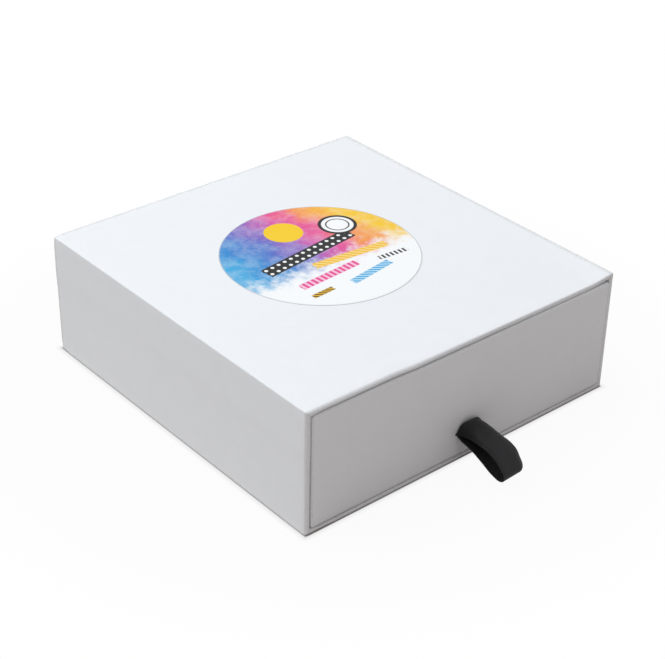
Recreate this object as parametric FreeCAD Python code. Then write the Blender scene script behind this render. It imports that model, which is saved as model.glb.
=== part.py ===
import FreeCAD, Part
import os

# Drawer box for rolls of craft tape: a paper-wrapped board sleeve, open at the front, and a
# paper-wrapped board drawer that slides out of it by a ribbon loop.
# Millimetres. +X is right, +Y is to the back, +Z is up. The origin is the middle of the sleeve's base.

# ---- driving dimensions ---------------------------------------------------------------------------
# overall size of the closed sleeve
SLEEVE_WIDTH = 158.0
SLEEVE_DEPTH = 164.0
SLEEVE_HEIGHT = 54.0

# sheet stock
BOARD = 1.5             # greyboard of every panel
PAPER = 0.2             # outer wrap, back sheet, floor sheet and patch
LINING = 0.15           # thin paper inside the sleeve and on the drawer's walls
TAPE = 0.1              # gummed tape on the boards' corners
TAPE_LEG = 12.0         # how far a corner tape reaches along each board
BOARD_EDGE_RADIUS = 0.6  # a board's long outer edges, pressed round by the wrapping

# sleeve
MOUTH_TURN_IN = 15.0    # wrap folded into the mouth
BACK_TURN_OVER = 15.0   # wrap folded over the back edges
BACK_SHEET_INSET = 1.5  # bare margin round the back sheet
LAP_FROM_TOP = 19.3     # the wrap's outer edge on the left side, below the top
LAP_STEP = 0.1          # height of that edge
LABEL_RADIUS = 42.2
LABEL_THICKNESS = 0.1
LABEL_X = -2.0
LABEL_Y = 3.2

# drawer and its clearances in the sleeve
SIDE_CLEARANCE = 0.5
TOP_CLEARANCE = 1.2
FLOOR_CLEARANCE = 0.1
REAR_CLEARANCE = 1.0
FRONT_RECESS = 0.6      # the drawer's front stands this far inside the mouth
RIM_TURN_IN = 18.0      # wrap folded down inside the walls
CORNER_FLAP = 17.0      # side flap of the wrap, under the front and back sheets
FLAP_STEP = 0.1         # how much the flap lifts the sheet over it
SHEET_MARGIN = 0.3      # floor sheet short of the wall lining
BASE_EDGE_RADIUS = 0.4  # the drawer wrap's bottom edges

# ribbon pull
RIBBON_WIDTH = 13.0
RIBBON = 0.35           # one layer
RIBBON_X = 1.5          # middle of the ribbon
SLIT_ABOVE_DRAWER_BASE = 10.35
SLIT_CLEARANCE = 0.2    # round the two layers in the slit
TAIL_DOWN = 7.0         # one tail goes down from the slit, and the other goes up towards the rim
PATCH_MARGIN = 5.0      # patch glued down round the tails
PATCH_FLOOR_GAP = 0.3
PATCH_RIM_GAP = 1.0     # between the patch and the edge of the rim's turned-in paper
HINGE_OUT = 1.1         # the loop bends this far in front of the drawer's front
HINGE_GAP = 0.25        # between the loop's root and the tail's end
# The loop's middle line, from its upper to its lower root: (out from the bend, up from the bend).
# It is a teardrop that droops.
LOOP_LINE = [
    (0.0, 0.2),
    (1.6, 0.8),
    (5.0, 1.2),
    (11.4, 0.8),
    (18.4, 0.2),
    (24.0, -1.9),
    (26.4, -5.5),
    (24.6, -7.6),
    (20.3, -8.4),
    (14.6, -6.6),
    (8.2, -3.2),
    (3.0, -1.1),
    (0.0, -0.2),
]
LOOP_SKEW = 0.34        # at the loop's end, how much less the right edge reaches out, per mm of width
LOOP_ROLL = 0.18        # at the loop's end, how much lower the right edge lies, per mm of width
LOOP_YAW = 0.02         # the loop leans to the left, per mm out
ROOT_ROLL = 0.05        # near the root, how much higher the right edge lies, per mm of width
ROOT_RISE = 2.0         # the ribbon takes its crowned shape over this length
CROWN_UPPER = 1.6       # the middle of the upper layer stands this far above its edges near the root
CROWN_LOWER = 0.7       # the same for the lower layer, nested under it
CROWN_LENGTH = 19.0     # and is flat again this far out
LOOP_STATIONS = 40      # cross-sections along the loop

# ---- values that follow ---------------------------------------------------------------------------
half_w = SLEEVE_WIDTH / 2
half_d = SLEEVE_DEPTH / 2
under_wrap = PAPER + TAPE
wrap_edge_radius = BOARD_EDGE_RADIUS + TAPE + PAPER
tape_edge_radius = BOARD_EDGE_RADIUS + TAPE

# sleeve boards: outer faces
sleeve_board_x = half_w - under_wrap
sleeve_board_z0 = under_wrap
sleeve_board_z1 = SLEEVE_HEIGHT - under_wrap
sleeve_board_y0 = -half_d + PAPER
sleeve_board_y1 = half_d - 2 * PAPER
# inner faces of the boards, of the lining and of the turn-ins
cavity_x = sleeve_board_x - BOARD
cavity_z0 = sleeve_board_z0 + BOARD
cavity_z1 = sleeve_board_z1 - BOARD
cavity_y1 = sleeve_board_y1 - BOARD
lined_x = cavity_x - LINING
lined_z0 = cavity_z0 + LINING
lined_z1 = cavity_z1 - LINING
lined_y1 = cavity_y1 - LINING
mouth_x = lined_x - PAPER
mouth_z0 = lined_z0 + PAPER
mouth_z1 = lined_z1 - PAPER

# drawer: outer faces of the wrap
drawer_x = mouth_x - SIDE_CLEARANCE
drawer_y0 = -half_d + FRONT_RECESS
drawer_y1 = lined_y1 - REAR_CLEARANCE
drawer_z0 = mouth_z0 + FLOOR_CLEARANCE
drawer_z1 = mouth_z1 - TOP_CLEARANCE
# outer faces of its boards: the front and back sheets lie over the flaps
end_stack = 2 * PAPER + TAPE
drawer_board_x = drawer_x - under_wrap
drawer_board_y0 = drawer_y0 + end_stack
drawer_board_y1 = drawer_y1 - end_stack
drawer_board_z0 = drawer_z0 + PAPER
drawer_board_z1 = drawer_z1 - PAPER
# inner faces of its boards, of the lining and of the turn-ins
tray_x = drawer_board_x - BOARD
tray_y0 = drawer_board_y0 + BOARD
tray_y1 = drawer_board_y1 - BOARD
tray_z0 = drawer_board_z0 + BOARD
inside_x = tray_x - LINING
inside_y0 = tray_y0 + LINING
inside_y1 = tray_y1 - LINING
flap_end_x = drawer_x - CORNER_FLAP

# ribbon
slit_z = drawer_z0 + SLIT_ABOVE_DRAWER_BASE
slit_half_w = RIBBON_WIDTH / 2 + SLIT_CLEARANCE
slit_half_h = RIBBON + SLIT_CLEARANCE
ribbon_x0 = RIBBON_X - RIBBON_WIDTH / 2
ribbon_x1 = RIBBON_X + RIBBON_WIDTH / 2
tail_z0 = slit_z - TAIL_DOWN
patch_z1 = drawer_z1 - RIM_TURN_IN - PATCH_RIM_GAP
tail_z1 = patch_z1 - PATCH_MARGIN
hinge_y = drawer_y0 - HINGE_OUT
root_radius = LOOP_LINE[0][1] + RIBBON / 2

THROUGH = 5.0           # how far a cutting tool runs past a wall


# ---- helpers --------------------------------------------------------------------------------------
def block(x0, x1, y0, y1, z0, z1):
    """A box between two corners."""
    corner = FreeCAD.Vector(x0, y0, z0)
    return Part.makeBox(x1 - x0, y1 - y0, z1 - z0, corner)


def edges_along(shape, axis):
    """The straight edges of a box that run along one axis: 0 is X, 1 is Y and 2 is Z."""
    found = []
    for edge in shape.Edges:
        ends = edge.Vertexes[1].Point - edge.Vertexes[0].Point
        if abs(abs(ends[axis]) - ends.Length) < 1e-6:
            found.append(edge)
    return found


def rounded(shape, axis, radius):
    """A box with the four edges along one axis rounded."""
    return shape.makeFillet(radius, edges_along(shape, axis))


def export(node, shape):
    """Check a piece and write its STEP file."""
    clean = shape.removeSplitter()
    if not clean.isValid():
        raise ValueError(node + " is not a valid solid")
    clean.exportStep("parts/" + node + ".step")
    print(node, len(clean.Solids), "solids, volume", round(clean.Volume, 2))


def corner_tapes(outside, inside, middles, reach):
    """The four corners of a thin tube, cut out of it around the given corner lines."""
    tube = outside.cut(inside)
    strips = []
    for x, y, z in middles:
        dx, dy, dz = reach
        strips.append(tube.common(block(x - dx, x + dx, y - dy, y + dy, z - dz, z + dz)))
    return Part.makeCompound([solid for strip in strips for solid in strip.Solids])


# ---- sleeve ---------------------------------------------------------------------------------------
def sleeve_boards():
    """Five boards. The top and bottom ones run the full width and the back one is inside the tube."""
    x = sleeve_board_x
    y0 = sleeve_board_y0
    y1 = sleeve_board_y1
    tube = rounded(block(-x, x, y0, y1, sleeve_board_z0, sleeve_board_z1), 1, BOARD_EDGE_RADIUS)
    wide = x + THROUGH
    return {
        "sleeve_top_board": tube.common(block(-wide, wide, y0, y1, cavity_z1, sleeve_board_z1)),
        "sleeve_bottom_board": tube.common(block(-wide, wide, y0, y1, sleeve_board_z0, cavity_z0)),
        "sleeve_left_board": block(-x, -cavity_x, y0, y1, cavity_z0, cavity_z1),
        "sleeve_right_board": block(cavity_x, x, y0, y1, cavity_z0, cavity_z1),
        "sleeve_back_board": block(-cavity_x, cavity_x, cavity_y1, y1, cavity_z0, cavity_z1),
    }


def sleeve_corner_tape():
    """Four long tapes, one over each long edge of the boards."""
    x = sleeve_board_x
    y0 = sleeve_board_y0
    y1 = sleeve_board_y1
    inside = rounded(block(-x, x, y0, y1, sleeve_board_z0, sleeve_board_z1), 1, BOARD_EDGE_RADIUS)
    outside = rounded(block(-x - TAPE, x + TAPE, y0, y1, sleeve_board_z0 - TAPE, sleeve_board_z1 + TAPE),
                      1, tape_edge_radius)
    middles = [(side * x, 0, z) for side in (-1, 1) for z in (sleeve_board_z0, sleeve_board_z1)]
    return corner_tapes(outside, inside, middles, (TAPE_LEG, SLEEVE_DEPTH, TAPE_LEG))


def sleeve_wrap():
    """The whole wrap: round the tube, folded into the mouth and over the back, lapped on the left."""
    y1 = sleeve_board_y1 + PAPER
    outer = rounded(block(-half_w, half_w, -half_d, y1, 0, SLEEVE_HEIGHT), 1, wrap_edge_radius)
    core_x = half_w - PAPER
    core = rounded(block(-core_x, core_x, sleeve_board_y0, sleeve_board_y1, PAPER, SLEEVE_HEIGHT - PAPER),
                   1, tape_edge_radius)
    wrap = outer.cut(core)
    mouth = block(-mouth_x, mouth_x, -half_d - THROUGH, half_d - THROUGH, mouth_z0, mouth_z1)
    wrap = wrap.cut(mouth)
    back_hole_x = half_w - BACK_TURN_OVER
    back_hole = block(-back_hole_x, back_hole_x, half_d - THROUGH, half_d + THROUGH,
                      BACK_TURN_OVER, SLEEVE_HEIGHT - BACK_TURN_OVER)
    wrap = wrap.cut(back_hole)
    turn_in_y1 = -half_d + MOUTH_TURN_IN
    turn_in = block(-lined_x, lined_x, -half_d, turn_in_y1, lined_z0, lined_z1)
    wrap = wrap.fuse(turn_in.cut(mouth))
    lap_z = SLEEVE_HEIGHT - LAP_FROM_TOP
    lap = block(-half_w - THROUGH, -half_w + LAP_STEP, -half_d - THROUGH, half_d + THROUGH, -THROUGH, lap_z)
    return wrap.cut(lap)


def split_wrap(wrap):
    """The wrap in two nodes: the flat panel under the box, and the rest."""
    x = half_w + THROUGH
    slab = block(-x, x, -half_d - THROUGH, half_d + THROUGH, -THROUGH, PAPER)
    return wrap.common(slab), wrap.cut(slab)


def sleeve_back_sheet():
    """Paper that closes the back, over the wrap's turned-over edges."""
    x = half_w - BACK_SHEET_INSET
    return block(-x, x, half_d - PAPER, half_d, BACK_SHEET_INSET, SLEEVE_HEIGHT - BACK_SHEET_INSET)


def sleeve_lining():
    """Thin paper on the inside of the four walls and of the back."""
    outer = block(-cavity_x, cavity_x, sleeve_board_y0, cavity_y1, cavity_z0, cavity_z1)
    inner = block(-lined_x, lined_x, sleeve_board_y0 - THROUGH, lined_y1, lined_z0, lined_z1)
    return outer.cut(inner)


def top_label():
    """Round label on the top."""
    middle = FreeCAD.Vector(LABEL_X, LABEL_Y, SLEEVE_HEIGHT)
    return Part.makeCylinder(LABEL_RADIUS, LABEL_THICKNESS, middle)


# ---- drawer ---------------------------------------------------------------------------------------
def slit_tool():
    """The ribbon's slit, as a cutting tool through the drawer's front."""
    return block(RIBBON_X - slit_half_w, RIBBON_X + slit_half_w, drawer_y0 - THROUGH, inside_y0 + THROUGH,
                 slit_z - slit_half_h, slit_z + slit_half_h)


def drawer_boards():
    """Five boards. The front and back ones run the full width and the floor is inside the walls."""
    x = drawer_board_x
    y0 = drawer_board_y0
    y1 = drawer_board_y1
    z0 = drawer_board_z0
    z1 = drawer_board_z1
    walls = rounded(block(-x, x, y0, y1, z0, z1), 2, BOARD_EDGE_RADIUS)
    wide = x + THROUGH
    front = walls.common(block(-wide, wide, y0, tray_y0, z0, z1))
    return {
        "drawer_front_board": front.cut(slit_tool()),
        "drawer_back_board": walls.common(block(-wide, wide, tray_y1, y1, z0, z1)),
        "drawer_left_board": block(-x, -tray_x, tray_y0, tray_y1, z0, z1),
        "drawer_right_board": block(tray_x, x, tray_y0, tray_y1, z0, z1),
        "drawer_floor_board": block(-tray_x, tray_x, tray_y0, tray_y1, z0, tray_z0),
    }


def drawer_corner_tape():
    """Four upright tapes, one over each corner of the drawer's boards."""
    x = drawer_board_x
    y0 = drawer_board_y0
    y1 = drawer_board_y1
    z0 = drawer_board_z0
    z1 = drawer_board_z1
    inside = rounded(block(-x, x, y0, y1, z0, z1), 2, BOARD_EDGE_RADIUS)
    outside = rounded(block(-x - TAPE, x + TAPE, y0 - TAPE, y1 + TAPE, z0, z1), 2, tape_edge_radius)
    middles = [(side * x, y, z0) for side in (-1, 1) for y in (y0, y1)]
    return corner_tapes(outside, inside, middles, (TAPE_LEG, TAPE_LEG, SLEEVE_HEIGHT))


def drawer_wrap():
    """Paper under and round the drawer, over its rim and down inside, with the flap ends showing."""
    outer = rounded(block(-drawer_x, drawer_x, drawer_y0, drawer_y1, drawer_z0, drawer_z1),
                    2, wrap_edge_radius)
    base_edges = [edge for edge in outer.Edges if edge.BoundBox.ZMax < drawer_z0 + 1e-6]
    outer = outer.makeFillet(BASE_EDGE_RADIUS, base_edges)
    core = rounded(block(-drawer_board_x - TAPE, drawer_board_x + TAPE,
                         drawer_board_y0 - TAPE, drawer_board_y1 + TAPE,
                         drawer_board_z0, drawer_board_z1), 2, tape_edge_radius)
    wrap = outer.cut(core)
    # between the flaps the front and back sheets are one layer, and lie a little deeper
    sheet_inner = FLAP_STEP + PAPER
    for face_y, inward in ((drawer_y0, 1), (drawer_y1, -1)):
        step = sorted((face_y - inward * THROUGH, face_y + inward * FLAP_STEP))
        hollow = sorted((face_y + inward * sheet_inner, face_y + inward * end_stack))
        wrap = wrap.cut(block(-flap_end_x, flap_end_x, step[0], step[1], -THROUGH, SLEEVE_HEIGHT))
        wrap = wrap.cut(block(-flap_end_x, flap_end_x, hollow[0], hollow[1],
                              drawer_board_z0, drawer_board_z1))
    turned_x = inside_x - PAPER
    turned_y0 = inside_y0 + PAPER
    turned_y1 = inside_y1 - PAPER
    well = block(-turned_x, turned_x, turned_y0, turned_y1, tray_z0, SLEEVE_HEIGHT)
    wrap = wrap.cut(well)
    turn_in = block(-inside_x, inside_x, inside_y0, inside_y1, drawer_z1 - RIM_TURN_IN, drawer_z1)
    wrap = wrap.fuse(turn_in.cut(well))
    return wrap.cut(slit_tool())


def drawer_wall_lining():
    """Thin paper on the inside of the four walls."""
    outer = block(-tray_x, tray_x, tray_y0, tray_y1, tray_z0, drawer_board_z1)
    inner = block(-inside_x, inside_x, inside_y0, inside_y1, tray_z0, drawer_board_z1)
    return outer.cut(inner).cut(slit_tool())


def drawer_floor_sheet():
    """Paper on the drawer's floor."""
    x = inside_x - SHEET_MARGIN
    return block(-x, x, inside_y0 + SHEET_MARGIN, inside_y1 - SHEET_MARGIN, tray_z0, tray_z0 + PAPER)


# ---- ribbon pull ----------------------------------------------------------------------------------
def ribbon_tails():
    """Both layers through the slit, spread up and down on the inside of the front."""
    stub_end = hinge_y + root_radius + HINGE_GAP
    stub = block(ribbon_x0, ribbon_x1, stub_end, inside_y0, slit_z - RIBBON, slit_z + RIBBON)
    spread = block(ribbon_x0, ribbon_x1, inside_y0, inside_y0 + RIBBON, tail_z0, tail_z1)
    return stub.fuse(spread)


def ribbon_patch():
    """Paper glued over the tails, raised by their thickness."""
    low = max(tail_z0 - PATCH_MARGIN, tray_z0 + PAPER + PATCH_FLOOR_GAP)
    y0 = inside_y0
    flat = block(ribbon_x0 - PATCH_MARGIN, ribbon_x1 + PATCH_MARGIN, y0, y0 + PAPER, low, patch_z1)
    raised = block(ribbon_x0 - PAPER, ribbon_x1 + PAPER, y0, y0 + RIBBON + PAPER, low, tail_z1 + PAPER)
    pocket = block(ribbon_x0, ribbon_x1, y0, y0 + RIBBON, tail_z0, tail_z1)
    return flat.fuse(raised).cut(pocket)


def ease(share):
    """A smooth step from 0 to 1."""
    share = min(max(share, 0), 1)
    return share * share * (3 - 2 * share)


def loop_sections():
    """Cross-sections along the loop. It is crowned near the root, and skews and rolls towards its end."""
    middle = Part.BSplineCurve()
    middle.interpolate([FreeCAD.Vector(0, out, up) for out, up in LOOP_LINE])
    reach = max(out for out, up in LOOP_LINE)
    sections = []
    for station in range(LOOP_STATIONS + 1):
        share = station / LOOP_STATIONS
        where = middle.FirstParameter + share * (middle.LastParameter - middle.FirstParameter)
        point = middle.value(where)
        along = middle.tangent(where)[0]
        outward = FreeCAD.Vector(0, -along.z, along.y)
        far = ease(point.y / reach)
        risen = ease(point.y / ROOT_RISE)
        roll = ROOT_ROLL * risen * (1 - far) - LOOP_ROLL * far
        across = FreeCAD.Vector(1, -LOOP_SKEW * far, roll).normalize() * (RIBBON_WIDTH / 2)
        top = CROWN_UPPER if share < 0.5 else CROWN_LOWER
        crown = FreeCAD.Vector(0, 0, top * risen * (1 - ease(point.y / CROWN_LENGTH)))
        place = FreeCAD.Vector(RIBBON_X - LOOP_YAW * point.y, hinge_y, slit_z)
        edges = []
        for face in (1, -1):
            skin = point + outward * (face * RIBBON / 2)
            spots = [skin - across * face, skin + crown, skin + across * face]
            arch = Part.BSplineCurve()
            arch.interpolate([place + FreeCAD.Vector(spot.x, -spot.y, spot.z) for spot in spots])
            edges.append(arch.toShape())
        upper, lower = edges
        sides = [Part.makeLine(upper.Vertexes[1].Point, lower.Vertexes[0].Point),
                 Part.makeLine(lower.Vertexes[1].Point, upper.Vertexes[0].Point)]
        sections.append(Part.Wire([upper, sides[0], lower, sides[1]]))
    return sections


def ribbon_loop():
    """The loop outside: a teardrop of ribbon whose two ends meet in a round root at the bend."""
    strip = Part.makeLoft(loop_sections(), True, False)
    root_end = FreeCAD.Vector(ribbon_x0, hinge_y, slit_z)
    root = Part.makeCylinder(root_radius, RIBBON_WIDTH, root_end, FreeCAD.Vector(1, 0, 0))
    return strip.fuse(root)


def main():
    os.makedirs("parts", exist_ok=True)
    pieces = {}
    pieces.update(sleeve_boards())
    pieces["sleeve_corner_tape"] = sleeve_corner_tape()
    pieces["sleeve_wrap_underside"], pieces["sleeve_wrap"] = split_wrap(sleeve_wrap())
    pieces["sleeve_back_sheet"] = sleeve_back_sheet()
    pieces["sleeve_lining"] = sleeve_lining()
    pieces["top_label"] = top_label()
    pieces.update(drawer_boards())
    pieces["drawer_corner_tape"] = drawer_corner_tape()
    pieces["drawer_wrap"] = drawer_wrap()
    pieces["drawer_wall_lining"] = drawer_wall_lining()
    pieces["drawer_floor_sheet"] = drawer_floor_sheet()
    pieces["ribbon_tails"] = ribbon_tails()
    pieces["ribbon_patch"] = ribbon_patch()
    pieces["ribbon_loop"] = ribbon_loop()
    for node, shape in pieces.items():
        export(node, shape)


main()
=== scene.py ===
# %% [markdown]
# # A drawer box covered in white paper
# The object is a slide box for rolls of craft tape: a sleeve of grey board, open at the front, and a drawer that
# slides in it. Both are covered in white paper. A black ribbon loop pulls the drawer, and a round label is stuck on
# the top. The construction model gives every piece its place and size, and this script gives the pieces their looks.
# All positions in the cells below are in millimetres, and become metres where a mesh is made.

# %% Load the construction model
import math

import bmesh
import bpy
import numpy as np
from mathutils import Matrix, Vector


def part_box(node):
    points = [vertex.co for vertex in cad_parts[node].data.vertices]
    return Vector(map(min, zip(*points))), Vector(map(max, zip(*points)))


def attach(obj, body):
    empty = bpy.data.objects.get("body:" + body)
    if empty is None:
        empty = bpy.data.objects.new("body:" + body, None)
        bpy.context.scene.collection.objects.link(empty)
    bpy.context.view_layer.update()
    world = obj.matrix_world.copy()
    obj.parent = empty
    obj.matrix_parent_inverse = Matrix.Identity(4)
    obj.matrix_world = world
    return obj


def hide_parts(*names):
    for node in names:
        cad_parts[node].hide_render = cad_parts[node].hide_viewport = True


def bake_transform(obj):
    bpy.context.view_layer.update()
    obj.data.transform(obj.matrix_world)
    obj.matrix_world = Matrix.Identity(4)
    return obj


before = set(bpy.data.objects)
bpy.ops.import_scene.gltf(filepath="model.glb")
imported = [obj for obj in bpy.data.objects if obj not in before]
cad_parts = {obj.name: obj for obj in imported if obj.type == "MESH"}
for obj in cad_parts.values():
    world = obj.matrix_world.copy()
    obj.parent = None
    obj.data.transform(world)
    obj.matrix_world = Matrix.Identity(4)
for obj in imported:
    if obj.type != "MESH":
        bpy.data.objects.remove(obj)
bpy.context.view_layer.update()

# %% [markdown]
# ## Measures
# Nothing here is guessed twice. The few values that the model can't tell, such as how thick the paper looks at its
# cut edge, get a name.

# %% Sizes read from the model, in millimetres
MM = 0.001


def box_mm(node):
    """Lowest and highest corner of a node, in millimetres."""
    low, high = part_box(node)
    return low / MM, high / MM


sleeve_low, sleeve_high = box_mm("sleeve_wrap")
back_high = box_mm("sleeve_back_sheet")[1]
SLEEVE_X = sleeve_high.x                    # half width
SLEEVE_TOP = sleeve_high.z
MOUTH_Y = sleeve_low.y
SLEEVE_BACK_Y = sleeve_high.y               # the back, without its cover sheet

drawer_low, drawer_high = box_mm("drawer_wrap")
lining_low, lining_high = box_mm("drawer_wall_lining")
tails_low, tails_high = box_mm("ribbon_tails")
label_low, label_high = box_mm("top_label")
patch_low, patch_high = box_mm("ribbon_patch")

WALL = 2.15                                 # board, tape, lining and both layers of paper
SLIT_Z = 12.6                               # middle of the ribbon's slit
RIBBON_X = (tails_low.x + tails_high.x) / 2
RIBBON_WIDTH = tails_high.x - tails_low.x
BEND_Y = drawer_low.y - 1.1                 # the loop bends here, in front of the drawer
print("sleeve", round(2 * SLEEVE_X, 1), "x", round(back_high.y - MOUTH_Y, 1), "x", round(SLEEVE_TOP, 1), "mm")
print("drawer", [round(v, 2) for v in (drawer_high - drawer_low)], "mm")

# %% [markdown]
# ## Small helpers
# One function turns a hex colour, as a paint or print chart gives it, into the linear values that a shader needs.
# One function adds a node to any tree, with its settings and its links, so that a whole material reads as a list.

# %% Colours and nodes


def linear(hex_colour):
    """'#rrggbb' as linear red, green, blue and alpha."""
    channels = [int(hex_colour[i:i + 2], 16) / 255 for i in (1, 3, 5)]
    return [c / 12.92 if c <= 0.04045 else ((c + 0.055) / 1.055) ** 2.4 for c in channels] + [1.0]


def add(tree, kind, inputs=None, **settings):
    """Add one node. Settings are its properties; inputs are values, or sockets to link, by name or number."""
    node = tree.nodes.new(kind)
    for name, value in settings.items():
        setattr(node, name, value)
    for key, value in (inputs or {}).items():
        if isinstance(value, bpy.types.NodeSocket):
            tree.links.new(value, node.inputs[key])
        else:
            node.inputs[key].default_value = value
    return node


def maths(tree, operation, *values):
    """Add one step of arithmetic. It returns the node, and its result is outputs[0]."""
    return add(tree, "ShaderNodeMath", dict(enumerate(values)), operation=operation)


def new_material(name):
    """An empty material and its tree, with only an output node."""
    material = bpy.data.materials.new(name)
    material.use_nodes = True
    tree = material.node_tree
    tree.nodes.clear()
    output = tree.nodes.new("ShaderNodeOutputMaterial")
    return material, tree, output


print("white paper is", [round(v, 3) for v in linear("#f4f5f7")[:3]], "in linear light")

# %% [markdown]
# ## Camera
# The box is seen from in front, from the left and from above, with a long lens from about 0.7 m, so that its edges
# converge only a little. The camera is placed by its own position and by the two directions right and up.

# %% Camera
CAMERA_PLACE = Vector((-377.42, -442.62, 376.53))
CAMERA_RIGHT = Vector((0.76533, -0.64343, 0.01640)).normalized()
CAMERA_UP = Vector((0.32673, 0.41033, 0.85140)).normalized()
CAMERA_LENS = 89.218

camera_data = bpy.data.cameras.new("camera")
camera_data.lens = CAMERA_LENS
camera_data.sensor_width = 36.0
camera_data.clip_start = 0.01
camera_data.clip_end = 50.0
camera = bpy.data.objects.new("camera", camera_data)
bpy.context.scene.collection.objects.link(camera)
camera_back = CAMERA_RIGHT.cross(CAMERA_UP).normalized()
turn = Matrix((CAMERA_RIGHT, camera_back.cross(CAMERA_RIGHT), camera_back)).transposed()
camera.matrix_world = Matrix.Translation(CAMERA_PLACE * MM) @ turn.to_4x4()
bpy.context.scene.camera = camera
bpy.context.scene.view_settings.view_transform = "Standard"
print("camera at", [round(v, 3) for v in camera.location], "lens", CAMERA_LENS)

# %% [markdown]
# ## Floor and light
# A white box on a white ground is the hardest thing to light: it shows only by the difference between its faces. A
# large soft lamp hangs above it and a little to the left, so the top is brightest, then the left side, and the front
# gets mostly the light that the floor sends back. A second, weak lamp in front draws out the ribbon and the lips.
# What the camera sees of the floor is nearly white, while the light that it returns is that of a grey table, so that
# the front stays darker than the top. A Light Path node tells the two kinds of ray apart, and a share of real shading
# is left in the floor, so that the box keeps its shadow. Round the box's footprint the white is dimmed a little, a
# painted shade on all sides. Right at its edge the real shading is shown on a grey, which paints the contact line
# darker than the light alone makes it.

# %% Floor


def seen_rays(tree):
    """1 for the rays that reach the eye, straight or by a mirror or glass, and 0 for those that only carry light."""
    rays = add(tree, "ShaderNodeLightPath")
    seen = maths(tree, "MAXIMUM", rays.outputs["Is Camera Ray"], rays.outputs["Is Glossy Ray"])
    return maths(tree, "MAXIMUM", seen.outputs[0], rays.outputs["Is Transmission Ray"])


FLOOR_SIZE = 6.0
FLOOR_BOUNCE = "#c6c0bb"
FLOOR_SEEN = "#ffffff"
FLOOR_SHADED = "#bab7b5"  # shown where the box stands: real shading, on a grey that paints the contact line darker
SHADOW_SHARE = 0.05       # how much of the real shading is seen near the box
CONTACT_SHARE = 1.0       # the same, right where the box stands
CONTACT_WIDTH = 0.0004
CONTACT_HALO = 0.0026     # and the width of a faint shade painted round it, on all sides, by dimming the white
PAINTED_HALO_WHITE = 0.84
FADE_START = 0.10
FADE_END = 0.20

material, tree, output = new_material("studio_floor")
seen = seen_rays(tree)
place = add(tree, "ShaderNodeTexCoord")
distance = add(tree, "ShaderNodeVectorMath", {0: place.outputs["Object"]}, operation="LENGTH")
far_white = add(tree, "ShaderNodeMapRange", {"Value": distance.outputs["Value"], "From Min": FADE_START,
                                             "From Max": FADE_END, "To Min": 1 - SHADOW_SHARE, "To Max": 1.0},
                interpolation_type="SMOOTHSTEP")
footprint = add(tree, "ShaderNodeVectorMath", {0: place.outputs["Object"]}, operation="ABSOLUTE")
footprint = add(tree, "ShaderNodeVectorMath", {0: footprint.outputs[0], 1: (SLEEVE_X * MM, -MOUTH_Y * MM, 0.0)},
                operation="SUBTRACT")
footprint = add(tree, "ShaderNodeVectorMath", {0: footprint.outputs[0], 1: (0.0, 0.0, 0.0)}, operation="MAXIMUM")
beside = add(tree, "ShaderNodeVectorMath", {0: footprint.outputs[0]}, operation="LENGTH")
near_white = add(tree, "ShaderNodeMapRange", {"Value": beside.outputs["Value"], "From Max": CONTACT_WIDTH,
                                              "To Min": 1 - CONTACT_SHARE, "To Max": 1.0})
# the white is dimmed near the footprint on all sides: a painted shade round the box
painted_halo = add(tree, "ShaderNodeMapRange", {"Value": beside.outputs["Value"], "From Max": CONTACT_HALO,
                                        "To Min": PAINTED_HALO_WHITE, "To Max": 1.0})
plain = maths(tree, "MULTIPLY", near_white.outputs["Result"], far_white.outputs["Result"])
lit = add(tree, "ShaderNodeBsdfDiffuse", {"Color": linear(FLOOR_SHADED)})
white = add(tree, "ShaderNodeEmission", {"Color": linear(FLOOR_SEEN), "Strength": painted_halo.outputs["Result"]})
shown = add(tree, "ShaderNodeMixShader", {0: plain.outputs[0], 1: lit.outputs[0], 2: white.outputs[0]})
table = add(tree, "ShaderNodeBsdfDiffuse", {"Color": linear(FLOOR_BOUNCE)})
both = add(tree, "ShaderNodeMixShader", {0: seen.outputs[0], 1: table.outputs[0], 2: shown.outputs[0]})
tree.links.new(both.outputs[0], output.inputs["Surface"])

half = FLOOR_SIZE / 2
floor_mesh = bpy.data.meshes.new("floor")
floor_mesh.from_pydata([(-half, -half, 0), (half, -half, 0), (half, half, 0), (-half, half, 0)], [], [(0, 1, 2, 3)])
floor_mesh.materials.append(material)
floor = bpy.data.objects.new("floor", floor_mesh)
bpy.context.scene.collection.objects.link(floor)
print("floor", FLOOR_SIZE, "m wide")

# %% World and lamps
WORLD_FILL = 0.349         # what the surroundings add to the light
world = bpy.data.worlds.new("studio")
world.use_nodes = True
bpy.context.scene.world = world
tree = world.node_tree
tree.nodes.clear()
output = tree.nodes.new("ShaderNodeOutputWorld")
seen = seen_rays(tree)
fill = add(tree, "ShaderNodeBackground", {"Color": (1.0, 0.972, 0.981, 1.0), "Strength": WORLD_FILL})
backdrop = add(tree, "ShaderNodeBackground", {"Color": (1.0, 1.0, 1.0, 1.0), "Strength": 1.0})
both = add(tree, "ShaderNodeMixShader", {0: seen.outputs[0], 1: fill.outputs[0], 2: backdrop.outputs[0]})
tree.links.new(both.outputs[0], output.inputs["Surface"])


def soft_lamp(name, place, aim, size, power, colour):
    """A square area lamp, aimed at a point. Metres and watts."""
    data = bpy.data.lights.new(name, "AREA")
    data.shape = "SQUARE"
    data.size = size
    data.energy = power
    data.color = colour
    lamp = bpy.data.objects.new(name, data)
    bpy.context.scene.collection.objects.link(lamp)
    lamp.location = place
    lamp.rotation_mode = "QUATERNION"
    lamp.rotation_quaternion = (Vector(place) - Vector(aim)).to_track_quat("Z", "Y")
    return lamp


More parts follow.
